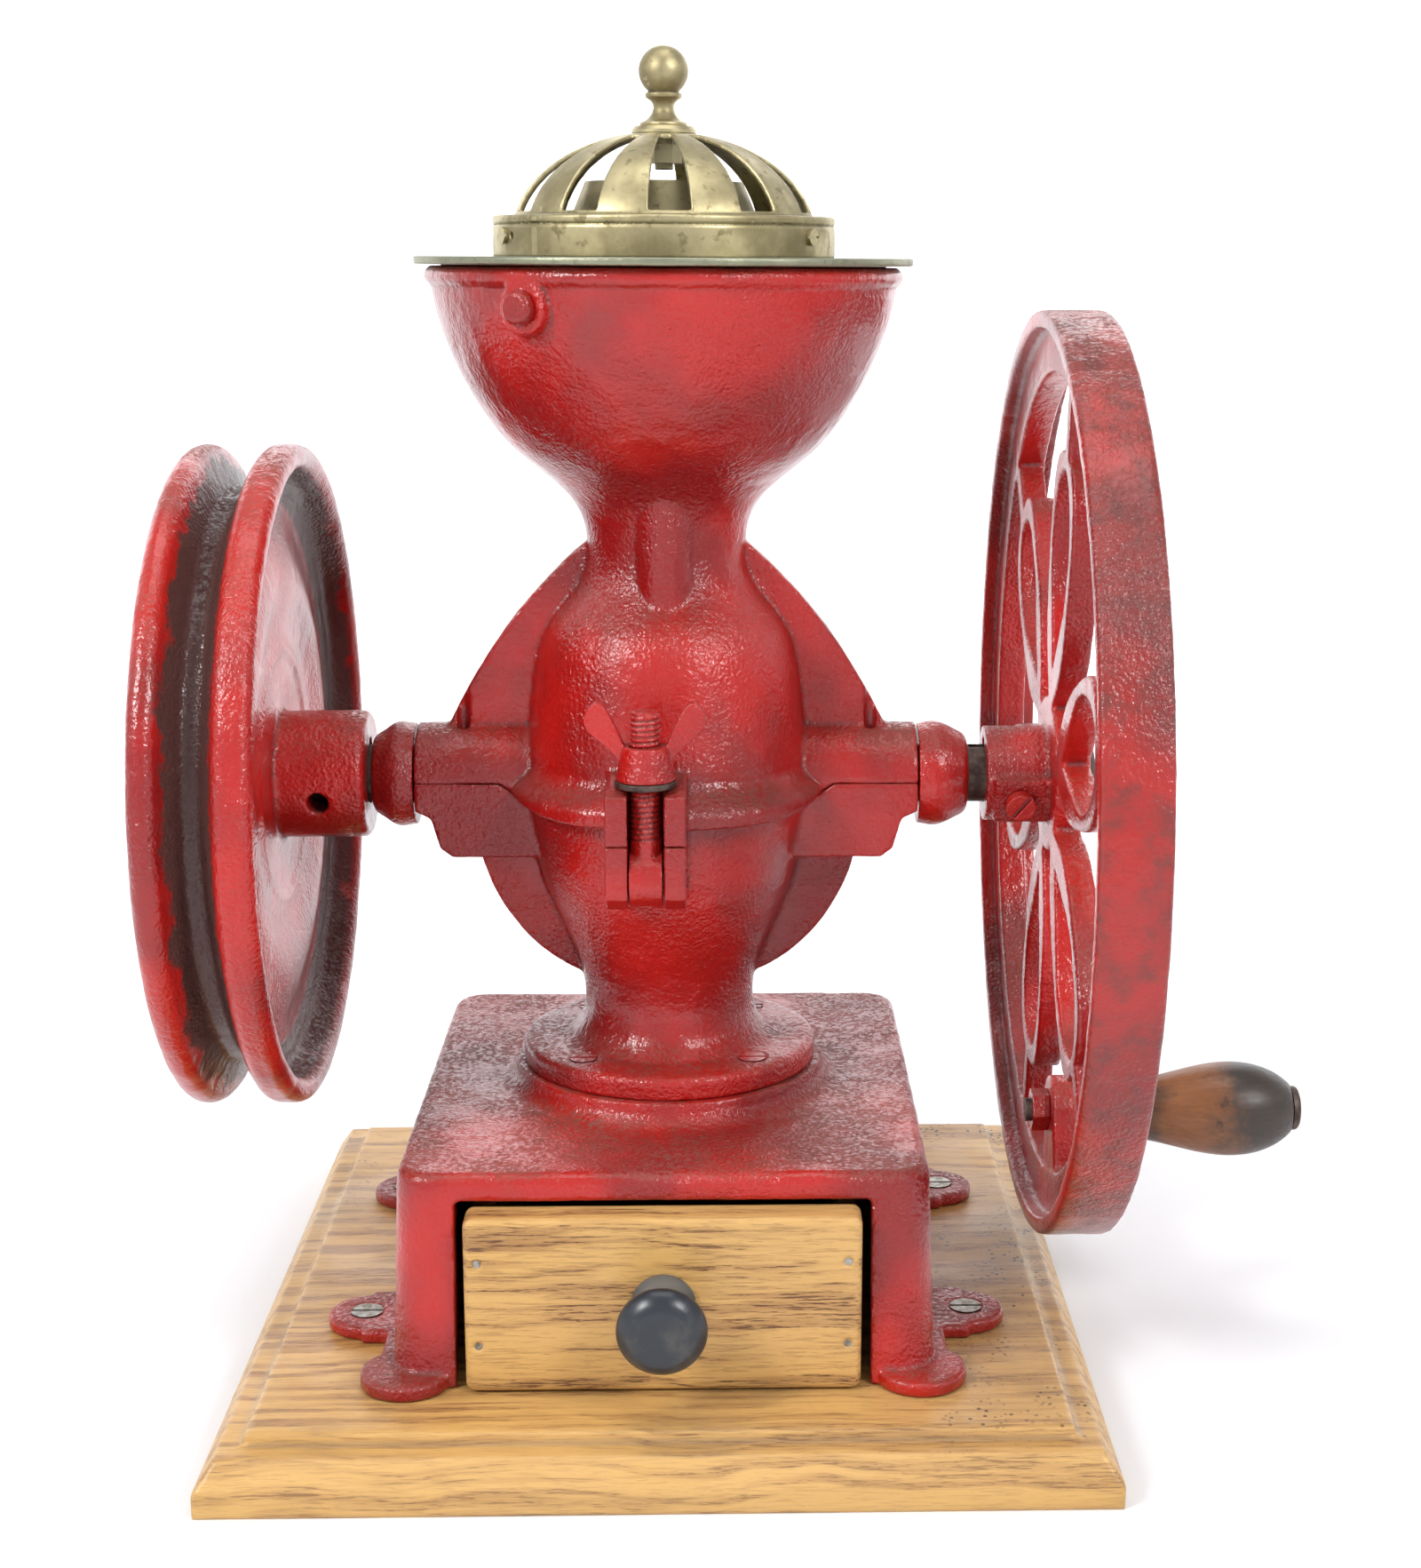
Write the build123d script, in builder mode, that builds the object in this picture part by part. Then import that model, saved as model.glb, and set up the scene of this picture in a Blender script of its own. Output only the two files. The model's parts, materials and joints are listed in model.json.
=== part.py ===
from build123d import *
import os
from math import cos, radians, sin

# A counter coffee mill: a cast-iron mill body with a hopper on a drawer base, all on an oak board.
# Frame: millimetres, +Z up, +X towards the flywheel, -Y towards the user and the drawer.
# The origin is the centre of the board's underside, on the mill's upright axis.

# Running and standing gaps
RUN_GAP = 0.05
END_GAP = 0.4
SLIDE_GAP = 0.6

# Oak board
BOARD_X = 286
BOARD_Y = 292
BOARD_Z = 21
BOARD_STEP_IN = 14
BOARD_STEP_UP = 4
BOARD_EDGE_R = 9

# Iron drawer base
BASE_TOP_X = 172
BASE_TOP_Y = 192
BASE_FOOT_X = 176
BASE_FOOT_Y = 207
BASE_TOP_Z = 91
BASE_WALL = 6.5
BASE_PLATE = 8
BASE_CORNER_R = 12
BAY_X = 133
BAY_TOP_Z = 82
FOOT_FLANGE = 5
TOE_X = 83
TOE_Y = 98
TOE_R = 15
LUG_X = 102
LUG_Y = 55
LUG_R = 13
LUG_HOLE_R = 2.6
LUG_HEAD_R = 5.4
BOSS_R = 54
BOSS_Z = 99
CHUTE_R = 23

# Mill body
SHAFT_Z = 200.8
SHAFT_R = 10
SPLIT_DROP = 7.5
FLANGE_R = 51.5
FLANGE_Z = 107
FLANGE_SCREW_PCD = 82
BEARING_R = 18
BEARING_X = 86
SADDLE_Z = 175
WEB_T = 7
NECK_R = 27.2
HOPPER_R = 79
HOPPER_Z = 373
HOPPER_SEAT_Z = 303
RIM_BEAD_R = 3.2

# Front clamp and rear hinge
CLAMP_X = -5.5
CLAMP_Y = -68
CLAMP_Z = 181
CLAMP_SLOT = 11.4
EAR_T = 7.2
EAR_FRONT = 9
BOLT_R = 5
EYE_R = 9
EYE_T = 10.6
CLAMP_PIN_R = 3
WASHER_Z = 211.5
WASHER_R = 10
WASHER_T = 2
BOLT_TOP_Z = 236
HINGE_Y = 68
HINGE_PIN_R = 3.5

# Burrs in the grinding chamber
BURR_R = 33
BURR_T = 7
BURR_BORE_R = 15
DIAPHRAGM_X = 12
DIAPHRAGM_T = 5

# Pulley on the left
PULLEY_R = 113
PULLEY_OUT_X = -160.3
PULLEY_IN_X = -122
PULLEY_HUB_R = 22
PULLEY_HUB_X = -102.5
GROOVE_R = 98

# Flywheel on the right
WHEEL_R = 158.75
WHEEL_X = 136.6
WHEEL_W = 22.2
BAND_T = 6
WEB_RING_R = 138
WEB_RING_W = 11
WHEEL_HUB_R = 16.6
WHEEL_HUB_IN = 109.7
WHEEL_HUB_OUT = 144
PETALS = 6
PETAL_START = 44
PETAL_TIP_R = 113
PETAL_WIDE_R = 78
PETAL_HALF_W = 21
PETAL_T = 6
CRANK_RADIUS = 117
CRANK_ANGLE = 254
CRANK_BOSS_R = 12
CRANK_BOLT_R = 4
GRIP_LENGTH = 66
GRIP_R = 16.2

# Lid
PLATE_R = 82.4
PLATE_Z = 373.3
PLATE_T = 2.6
RING_R = 56.4
RING_TOP_Z = 389
DOME_R = 50
DOME_RISE = 33.7
DOME_BASE_Z = 382.4
DOME_T = 1.6
WINDOWS = 10
BALL_R = 8.1
BALL_Z = 435.2
SPIGOT_R = 73
SPIGOT_T = 1.6
SPIGOT_DROP = 4
PLATE_BORE_R = 34

# Drawer
DRAWER_X = 126.4
DRAWER_FRONT_Y = -107
DRAWER_TOP_Z = 80.4
DRAWER_FRONT_T = 12
DRAWER_DEPTH = 190
SIDE_T = 7
SIDE_TOP_Z = 74
KNOB_Z = 51.5
KNOB_R = 14.2
KNOB_OUT = 25
NAIL_PITCH = 28
NAIL_R = 1.3

os.makedirs("parts", exist_ok=True)


def save(name, shape):
    shape.label = name
    export_step(shape, f"parts/{name}.step")


def crank_point():
    angle = radians(CRANK_ANGLE)
    return CRANK_RADIUS * cos(angle), SHAFT_Z + CRANK_RADIUS * sin(angle)


# ---------------------------------------------------------------- oak board

def make_board():
    with BuildPart() as base_board:
        with BuildSketch():
            Rectangle(BOARD_X, BOARD_Y)
        extrude(amount=BOARD_Z - BOARD_STEP_UP)
        top_edges = base_board.faces().sort_by(Axis.Z)[-1].edges()
        chamfer(top_edges, length=BOARD_EDGE_R, length2=BOARD_EDGE_R - 3)
        with BuildSketch(Plane.XY.offset(BOARD_Z - BOARD_STEP_UP)):
            Rectangle(BOARD_X - 2 * BOARD_STEP_IN, BOARD_Y - 2 * BOARD_STEP_IN)
        extrude(amount=BOARD_STEP_UP)
        with BuildSketch(Plane.XY.offset(BOARD_Z)):
            with GridLocations(2 * LUG_X, 2 * LUG_Y, 2, 2):
                Circle(LUG_HOLE_R - 0.6)
        extrude(amount=-(BOARD_Z - 4), mode=Mode.SUBTRACT)
    save("base_board", base_board.part)


# ---------------------------------------------------------------- iron drawer base

def make_iron_base():
    with BuildPart() as iron_base:
        with BuildSketch(Plane.XY.offset(BOARD_Z)):
            RectangleRounded(BASE_FOOT_X, BASE_FOOT_Y, BASE_CORNER_R)
        with BuildSketch(Plane.XY.offset(BASE_TOP_Z)):
            RectangleRounded(BASE_TOP_X, BASE_TOP_Y, BASE_CORNER_R)
        loft()
        fillet(iron_base.faces().sort_by(Axis.Z)[-1].edges(), 4)
        with BuildSketch(Plane.XY.offset(BOARD_Z)):
            with GridLocations(2 * TOE_X, 2 * TOE_Y, 2, 2):
                Circle(TOE_R)
            with GridLocations(2 * LUG_X, 2 * LUG_Y, 2, 2):
                Circle(LUG_R)
            with GridLocations(2 * (LUG_X - LUG_R), 2 * LUG_Y, 2, 2):
                Rectangle(2 * LUG_R, 2 * LUG_R + 6)
            Rectangle(BASE_FOOT_X + 10, 2 * TOE_Y)
        extrude(amount=FOOT_FLANGE)
        with BuildSketch(Plane.XY.offset(BASE_TOP_Z)):
            Circle(BOSS_R)
        extrude(amount=BOSS_Z - BASE_TOP_Z)
        boss_foot = iron_base.edges().filter_by(GeomType.CIRCLE)
        boss_foot = boss_foot.filter_by(lambda e: abs(e.radius - BOSS_R) < 0.01)
        fillet(boss_foot.sort_by(Axis.Z)[0:1], 7)
        with BuildSketch(Plane.XY.offset(BOARD_Z)):
            RectangleRounded(BASE_FOOT_X - 2 * BASE_WALL, BASE_FOOT_Y - 2 * BASE_WALL, 6)
        with BuildSketch(Plane.XY.offset(BASE_TOP_Z - BASE_PLATE)):
            RectangleRounded(BASE_TOP_X - 2 * BASE_WALL, BASE_TOP_Y - 2 * BASE_WALL, 6)
        loft(mode=Mode.SUBTRACT)
        bay_height = BAY_TOP_Z - BOARD_Z
        with BuildSketch(Plane.XZ):
            with Locations((0, BOARD_Z + bay_height / 2)):
                Rectangle(BAY_X, bay_height)
        extrude(amount=BASE_FOOT_Y, mode=Mode.SUBTRACT)
        with BuildSketch(Plane.XY.offset(BASE_TOP_Z - BASE_PLATE)):
            Circle(CHUTE_R)
            with PolarLocations(FLANGE_SCREW_PCD / 2, 4, start_angle=45):
                Circle(2.4)
        extrude(amount=BOSS_Z, mode=Mode.SUBTRACT)
        with GridLocations(2 * LUG_X, 2 * LUG_Y, 2, 2):
            with Locations((0, 0, BOARD_Z + FOOT_FLANGE)):
                CounterSinkHole(LUG_HOLE_R + 0.3, LUG_HEAD_R + 0.3, depth=FOOT_FLANGE)
    save("iron_base", iron_base.part)


def make_base_screws():
    with BuildPart() as base_screws:
        with BuildSketch(Plane.XZ):
            with BuildLine():
                Polyline(
                    (0, BOARD_Z + FOOT_FLANGE),
                    (LUG_HEAD_R, BOARD_Z + FOOT_FLANGE),
                    (LUG_HOLE_R - 0.6, BOARD_Z + 1.8),
                    (LUG_HOLE_R - 0.6, 6),
                    (0, 5),
                    close=True,
                )
            make_face()
        revolve(axis=Axis.Z)
        with BuildSketch(Plane.XY.offset(BOARD_Z + FOOT_FLANGE)):
            Rectangle(3 * LUG_HEAD_R, 1.3)
        extrude(amount=-1.2, mode=Mode.SUBTRACT)
    screw = base_screws.part
    spots = [(x * LUG_X, y * LUG_Y) for x in (-1, 1) for y in (-1, 1)]
    save("base_screws", Compound(children=[Pos(x, y, 0) * screw for x, y in spots]))


# ---------------------------------------------------------------- mill body

def split_face(z_side):
    # The joint line in the XZ plane: level at the bearings, dropped across the round body.
    drop = SPLIT_DROP
    with BuildSketch(Plane.XZ, mode=Mode.PRIVATE) as region:
        with BuildLine():
            right = Bezier(
                (30, SHAFT_Z - drop),
                (43, SHAFT_Z - drop),
                (51, SHAFT_Z - drop + 3),
                (57, SHAFT_Z),
            )
            mirror(right, about=Plane.YZ)
            Line((-30, SHAFT_Z - drop), (30, SHAFT_Z - drop))
            Polyline((57, SHAFT_Z), (130, SHAFT_Z), (130, z_side), (-130, z_side), (-130, SHAFT_Z), (-57, SHAFT_Z))
        make_face()
    return region.sketch


def cavity():
    # The hollow inside: hopper bowl, throat, grinding chamber and outlet.
    with BuildPart(mode=Mode.PRIVATE) as hollow:
        with BuildSketch(Plane.XZ):
            with BuildLine():
                Line((0, BOSS_Z - 1), (CHUTE_R, BOSS_Z - 1))
                Line((CHUTE_R, BOSS_Z - 1), (CHUTE_R, 122))
                Spline((CHUTE_R, 122), (38, 160), (44.5, 200), (40, 234), (22, 268))
                Line((22, 268), (22, 286))
                Spline((22, 286), (34, 304), (56, 326), (70, 352), (75.4, HOPPER_Z + 1))
                Polyline((75.4, HOPPER_Z + 1), (0, HOPPER_Z + 1), (0, BOSS_Z - 1))
            make_face()
        revolve(axis=Axis.Z)
    return hollow.part


def body_baffle(points):
    # An internal wall of the body: a band in the XZ plane, as wide as the hollow.
    with BuildPart(mode=Mode.PRIVATE) as baffle:
        with BuildSketch(Plane.XZ):
            with BuildLine():
                Polyline(*points, close=True)
            make_face()
        extrude(amount=60, both=True)
        add(cavity(), mode=Mode.INTERSECT)
    return baffle.part


def make_lower_body():
    left = DIAPHRAGM_X
    right = DIAPHRAGM_X + DIAPHRAGM_T
    with BuildPart() as lower_body:
        with BuildSketch(Plane.XZ):
            with BuildLine():
                Polyline((0, SHAFT_Z), (0, BOSS_Z), (FLANGE_R, BOSS_Z), (FLANGE_R, FLANGE_Z - 2.5))
                RadiusArc((FLANGE_R, FLANGE_Z - 2.5), (FLANGE_R - 2.5, FLANGE_Z), -2.5)
                Line((FLANGE_R - 2.5, FLANGE_Z), (37, FLANGE_Z))
                Spline((37, FLANGE_Z), (30.8, 115), (30, 127), (43.4, 164), (48, 184), (51.5, SHAFT_Z))
                Line((51.5, SHAFT_Z), (0, SHAFT_Z))
            make_face()
        revolve(axis=Axis.Z)
        with BuildSketch(Plane.XZ):
            for side in (-1, 1):
                with BuildLine():
                    Polyline(
                        (side * 40, SHAFT_Z),
                        (side * BEARING_X, SHAFT_Z),
                        (side * BEARING_X, 191),
                        (side * 80.5, 188.5),
                        (side * 77.5, 178),
                        (side * 73.5, SADDLE_Z),
                        (side * 40, SADDLE_Z),
                        close=True,
                    )
                make_face()
        extrude(amount=BEARING_R, both=True)
        with BuildSketch(Plane.XZ):
            for side in (-1, 1):
                with BuildLine():
                    Polyline((side * 28, 129), (side * 38, 176), (side * 65, 176), (side * 65, 172))
                    Spline((side * 65, 172), (side * 58, 155), (side * 46, 140), (side * 28, 129))
                make_face()
        extrude(amount=WEB_T / 2, both=True)
        with BuildSketch(Plane.YZ.offset(CLAMP_X)):
            with BuildLine():
                Polyline(
                    (-40, SHAFT_Z - SPLIT_DROP),
                    (CLAMP_Y - EAR_FRONT, SHAFT_Z - SPLIT_DROP),
                    (CLAMP_Y - EAR_FRONT, CLAMP_Z - 5),
                    (CLAMP_Y - EAR_FRONT + 5, CLAMP_Z - 9.5),
                    (-40, CLAMP_Z - 13),
                    close=True,
                )
            make_face()
        extrude(amount=CLAMP_SLOT / 2 + EAR_T, both=True)
        with BuildSketch(Plane.YZ):
            with Locations((HINGE_Y, 196)):
                Circle(8)
            with BuildLine():
                Polyline((42, 190), (HINGE_Y, 190), (HINGE_Y, 188), (42, 172), close=True)
            make_face()
        extrude(amount=22, both=True)
        with BuildSketch(Plane.YZ):
            with Locations((HINGE_Y, 196)):
                Circle(9)
        extrude(amount=14.4, both=True, mode=Mode.SUBTRACT)
        add(cavity(), mode=Mode.SUBTRACT)
        add(body_baffle([(left, SHAFT_Z), (right, SHAFT_Z), (right, 168), (60, 168), (60, 163), (left, 163)]))
        with BuildSketch(Plane.YZ.offset(CLAMP_X)):
            with Locations((CLAMP_Y, (CLAMP_Z + SHAFT_Z) / 2)):
                Rectangle(2 * EAR_FRONT + 4, 2 * (SHAFT_Z - CLAMP_Z) + 24)
        extrude(amount=CLAMP_SLOT / 2, both=True, mode=Mode.SUBTRACT)
        with BuildSketch(Plane.YZ):
            with Locations((0, SHAFT_Z)):
                Circle(SHAFT_R + RUN_GAP)
        extrude(amount=BEARING_X + 1, both=True, mode=Mode.SUBTRACT)
        with BuildSketch(Plane.YZ.offset(left - BURR_T - 1)):
            with Locations((0, SHAFT_Z)):
                Circle(BURR_BORE_R)
        extrude(amount=BURR_T + DIAPHRAGM_T + 2, mode=Mode.SUBTRACT)
        with BuildSketch(Plane.YZ.offset(CLAMP_X)):
            with Locations((CLAMP_Y, CLAMP_Z)):
                Circle(CLAMP_PIN_R)
        extrude(amount=CLAMP_SLOT / 2 + EAR_T, both=True, mode=Mode.SUBTRACT)
        with BuildSketch(Plane.YZ):
            with Locations((HINGE_Y, 196)):
                Circle(HINGE_PIN_R)
        extrude(amount=25, both=True, mode=Mode.SUBTRACT)
        with BuildSketch(Plane.XY.offset(FLANGE_Z)):
            with PolarLocations(FLANGE_SCREW_PCD / 2, 4, start_angle=45):
                Circle(2.8)
        extrude(amount=-(FLANGE_Z - BOSS_Z), mode=Mode.SUBTRACT)
        with PolarLocations(FLANGE_SCREW_PCD / 2, 4, start_angle=45):
            with Locations((0, 0, FLANGE_Z)):
                CounterSinkHole(2.8, 5, depth=FLANGE_Z - BOSS_Z)
        add(extrude(split_face(SHAFT_Z + 90), amount=90, both=True, mode=Mode.PRIVATE), mode=Mode.SUBTRACT)
    save("lower_body", lower_body.part)


def make_upper_body():
    left = DIAPHRAGM_X
    right = DIAPHRAGM_X + DIAPHRAGM_T
    ear_top = WASHER_Z - 0.4
    with BuildPart() as upper_body:
        with BuildSketch(Plane.XZ):
            with BuildLine():
                Polyline((0, HOPPER_Z), (0, 190), (55.5, 190), (56.6, 194))
                Spline((56.6, 194), (56.4, 198.5), (52, 203), (48.6, 210))
                Spline((48.6, 210), (45.6, 233), (40, 254), (31, 266), (NECK_R, 283))
                Spline((NECK_R, 283), (31.6, 296), (50, 312.5), (65, 332.7), (73.8, 352.5), (77, 366))
                Line((77, 366), (77, HOPPER_Z))
                Line((77, HOPPER_Z), (0, HOPPER_Z))
            make_face()
            with Locations((HOPPER_R - RIM_BEAD_R + 0.2, HOPPER_Z - RIM_BEAD_R)):
                Circle(RIM_BEAD_R)
        revolve(axis=Axis.Z)
        with BuildSketch(Plane.YZ):
            with Locations((0, SHAFT_Z)):
                Circle(BEARING_R)
        extrude(amount=BEARING_X, both=True)
        with BuildSketch(Plane.XZ):
            for side in (-1, 1):
                with BuildLine():
                    Polyline((side * 78, SHAFT_Z + 12), (side * 30, SHAFT_Z), (side * 20, 270), (side * 26, 283))
                    Spline((side * 26, 283), (side * 43, 267), (side * 56, 251), (side * 78, SHAFT_Z + 12))
                make_face()
        extrude(amount=WEB_T / 2, both=True)
        with BuildSketch(Plane.XY.offset(256)):
            with Locations((0, -24.5)):
                Circle(9)
        extrude(amount=46)
        with BuildSketch(Plane.YZ.offset(CLAMP_X)):
            with BuildLine():
                Polyline(
                    (-46, SHAFT_Z - SPLIT_DROP),
                    (-46, ear_top),
                    (CLAMP_Y, ear_top),
                    (CLAMP_Y - EAR_FRONT, ear_top - 1.6),
                    (CLAMP_Y - EAR_FRONT, SHAFT_Z - SPLIT_DROP),
                    close=True,
                )
            make_face()
        extrude(amount=CLAMP_SLOT / 2 + EAR_T, both=True)
        add(cavity(), mode=Mode.SUBTRACT)
        add(body_baffle([(left, 190), (right, 190), (right, 240), (-16, 276), (-28, 272), (left, 236)]))
        with BuildSketch(Plane.YZ.offset(CLAMP_X)):
            with Locations((CLAMP_Y, CLAMP_Z)):
                Rectangle(2 * EAR_FRONT + 6, 90)
        extrude(amount=CLAMP_SLOT / 2, both=True, mode=Mode.SUBTRACT)
        with BuildSketch(Plane.YZ):
            with Locations((0, SHAFT_Z)):
                Circle(SHAFT_R + RUN_GAP)
        extrude(amount=BEARING_X + 1, both=True, mode=Mode.SUBTRACT)
        with BuildSketch(Plane.YZ.offset(left - BURR_T - 1)):
            with Locations((0, SHAFT_Z)):
                Circle(BURR_BORE_R)
        extrude(amount=BURR_T + DIAPHRAGM_T + 2, mode=Mode.SUBTRACT)
        with BuildSketch(Plane.XY.offset(SHAFT_Z)):
            with Locations((-70, -3), (70, -3)):
                Circle(2)
        extrude(amount=30, mode=Mode.SUBTRACT)
        add(extrude(split_face(SHAFT_Z - 30), amount=90, both=True, mode=Mode.PRIVATE), mode=Mode.SUBTRACT)
        with BuildSketch(Plane.YZ):
            with Locations((HINGE_Y, 196)):
                Circle(8)
            with BuildLine():
                Polyline((48, 196), (HINGE_Y, 196), (HINGE_Y, 204), (48, 208), close=True)
            make_face()
            with Locations((HINGE_Y, 196)):
                Circle(HINGE_PIN_R, mode=Mode.SUBTRACT)
        extrude(amount=13.6, both=True)
        with BuildSketch(hopper_bolt_plane(71)):
            Circle(8.5)
        extrude(amount=8)
        with BuildSketch(hopper_bolt_plane(60)):
            Circle(3)
        extrude(amount=30, mode=Mode.SUBTRACT)
        add(cavity_above(300), mode=Mode.SUBTRACT)
    # The hopper seats on the body above the neck rib.
    for name, side in (("upper_body", Keep.BOTTOM), ("hopper", Keep.TOP)):
        with BuildPart() as half:
            add(upper_body.part)
            split(bisect_by=Plane.XY.offset(HOPPER_SEAT_Z), keep=side)
        save(name, half.part)


def cavity_above(height):
    with BuildPart(mode=Mode.PRIVATE) as bowl:
        add(cavity())
        split(bisect_by=Plane.XY.offset(height), keep=Keep.TOP)
    return bowl.part


def hopper_bolt_plane(radius):
    # Square to the hopper wall, near its rim on the front left.
    angle = radians(237.6)
    out = (cos(angle), sin(angle), 0)
    return Plane(origin=(radius * out[0], radius * out[1], 360.5), x_dir=(-out[1], out[0], 0), z_dir=out)


def make_hopper_bolt():
    with BuildPart() as hopper_bolt:
        with BuildSketch(hopper_bolt_plane(79)):
            Circle(5.4)
        extrude(amount=4)
        fillet(hopper_bolt.edges().filter_by(GeomType.CIRCLE).sort_by(Axis.Y)[0:1], 2)
        with BuildSketch(hopper_bolt_plane(66)):
            Circle(3)
        extrude(amount=13)
    save("hopper_bolt", hopper_bolt.part)
    with BuildPart() as hopper_nut:
        with BuildSketch(hopper_bolt_plane(66)):
            RegularPolygon(5.5, 6)
            Circle(3, mode=Mode.SUBTRACT)
        extrude(amount=4.5)
    save("hopper_nut", hopper_nut.part)


def make_flange_screws():
    with BuildPart() as flange_screws:
        with BuildSketch(Plane.XZ):
            with BuildLine():
                Polyline((0, FLANGE_Z), (4.8, FLANGE_Z), (2.4, FLANGE_Z - 2.6), (2.4, 84), (0, 84), close=True)
            make_face()
        revolve(axis=Axis.Z)
        with BuildSketch(Plane.XY.offset(FLANGE_Z)):
            Rectangle(12, 1.2)
        extrude(amount=-1.2, mode=Mode.SUBTRACT)
    reach = FLANGE_SCREW_PCD / 2
    spots = [(reach * cos(radians(a)), reach * sin(radians(a))) for a in (45, 135, 225, 315)]
    screw = flange_screws.part
    save("flange_screws", Compound(children=[Pos(x, y, 0) * screw for x, y in spots]))


def make_hinge_pin():
    with BuildPart() as hinge_pin:
        with BuildSketch(Plane.YZ.offset(-24)):
            with Locations((HINGE_Y, 196)):
                Circle(HINGE_PIN_R)
        extrude(amount=48)
        chamfer(hinge_pin.edges().filter_by(GeomType.CIRCLE), 0.8)
    save("hinge_pin", hinge_pin.part)


# ---------------------------------------------------------------- front clamp

def make_clamp():
    with BuildPart() as swing_bolt:
        with BuildSketch(Plane.YZ.offset(CLAMP_X)):
            with Locations((CLAMP_Y, CLAMP_Z)):
                Circle(EYE_R)
                Circle(CLAMP_PIN_R + RUN_GAP, mode=Mode.SUBTRACT)
        extrude(amount=EYE_T / 2, both=True)
        with BuildSketch(Plane.XY.offset(CLAMP_Z + EYE_R - 2)):
            with Locations((CLAMP_X, CLAMP_Y)):
                Circle(BOLT_R)
        extrude(amount=BOLT_TOP_Z - CLAMP_Z - EYE_R + 2)
        tip = swing_bolt.faces().sort_by(Axis.Z)[-1].edges()
        chamfer(tip, 1)
    save("swing_bolt", swing_bolt.part)

    half = CLAMP_SLOT / 2 + EAR_T
    with BuildPart() as clamp_pin:
        with BuildSketch(Plane.YZ.offset(CLAMP_X - half - 0.5)):
            with Locations((CLAMP_Y, CLAMP_Z)):
                Circle(CLAMP_PIN_R)
        extrude(amount=2 * half + 1)
    save("clamp_pin", clamp_pin.part)

    with BuildPart() as clamp_washer:
        with BuildSketch(Plane.XY.offset(WASHER_Z)):
            with Locations((CLAMP_X, CLAMP_Y)):
                Circle(WASHER_R)
                Circle(BOLT_R + END_GAP, mode=Mode.SUBTRACT)
        extrude(amount=WASHER_T)
        fillet(clamp_washer.edges().filter_by(GeomType.CIRCLE).sort_by(SortBy.RADIUS)[-2:], 0.5)
    save("clamp_washer", clamp_washer.part)

    nut_z = WASHER_Z + WASHER_T + 0.1
    with BuildPart() as wing_nut:
        with BuildSketch(Plane.XY.offset(nut_z)):
            with Locations((CLAMP_X, CLAMP_Y)):
                Circle(9.6)
        with BuildSketch(Plane.XY.offset(nut_z + 11)):
            with Locations((CLAMP_X, CLAMP_Y)):
                Circle(7.6)
        loft()
        with BuildSketch(Plane.XZ.offset(-CLAMP_Y)):
            for side in (-1, 1):
                with BuildLine():
                    Spline(
                        (CLAMP_X + side * 8, nut_z + 2),
                        (CLAMP_X + side * 12.4, nut_z + 11),
                        (CLAMP_X + side * 19.3, nut_z + 20),
                        (CLAMP_X + side * 15.5, nut_z + 25),
                        (CLAMP_X + side * 10.2, nut_z + 19),
                        (CLAMP_X + side * 6.6, nut_z + 11),
                    )
                    Polyline(
                        (CLAMP_X + side * 6.6, nut_z + 11),
                        (CLAMP_X + side * 3, nut_z + 11),
                        (CLAMP_X + side * 3, nut_z + 2),
                        (CLAMP_X + side * 8, nut_z + 2),
                    )
                make_face()
        extrude(amount=2.5, both=True)
        with BuildSketch(Plane.XY.offset(nut_z - 1)):
            with Locations((CLAMP_X, CLAMP_Y)):
                Circle(BOLT_R + RUN_GAP)
        extrude(amount=40, mode=Mode.SUBTRACT)
    save("wing_nut", wing_nut.part)


# ---------------------------------------------------------------- shaft and grinding parts

def along_shaft(x):
    return Plane.YZ.offset(x)


def make_shaft():
    left, right = PULLEY_OUT_X - 2, WHEEL_HUB_OUT + 4
    with BuildPart() as shaft:
        with BuildSketch(along_shaft(left)):
            with Locations((0, SHAFT_Z)):
                Circle(SHAFT_R)
        extrude(amount=right - left)
        chamfer(shaft.edges().filter_by(GeomType.CIRCLE), 1)
        for x, length in ((left, -104 - left), (104.5, right - 104.5)):
            with BuildSketch(along_shaft(x)):
                with Locations((0, SHAFT_Z + SHAFT_R)):
                    Rectangle(5, 5)
            extrude(amount=length, mode=Mode.SUBTRACT)
    save("shaft", shaft.part)
    keys = []
    for x, length in ((PULLEY_HUB_X - 36, 34), (WHEEL_HUB_IN + 1, WHEEL_HUB_OUT - WHEEL_HUB_IN - 2)):
        with BuildPart() as key:
            with BuildSketch(along_shaft(x)):
                with Locations((0, SHAFT_Z + SHAFT_R)):
                    Rectangle(5, 5)
            extrude(amount=length)
        keys.append(key.part)
    save("shaft_keys", Compound(children=keys))


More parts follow.
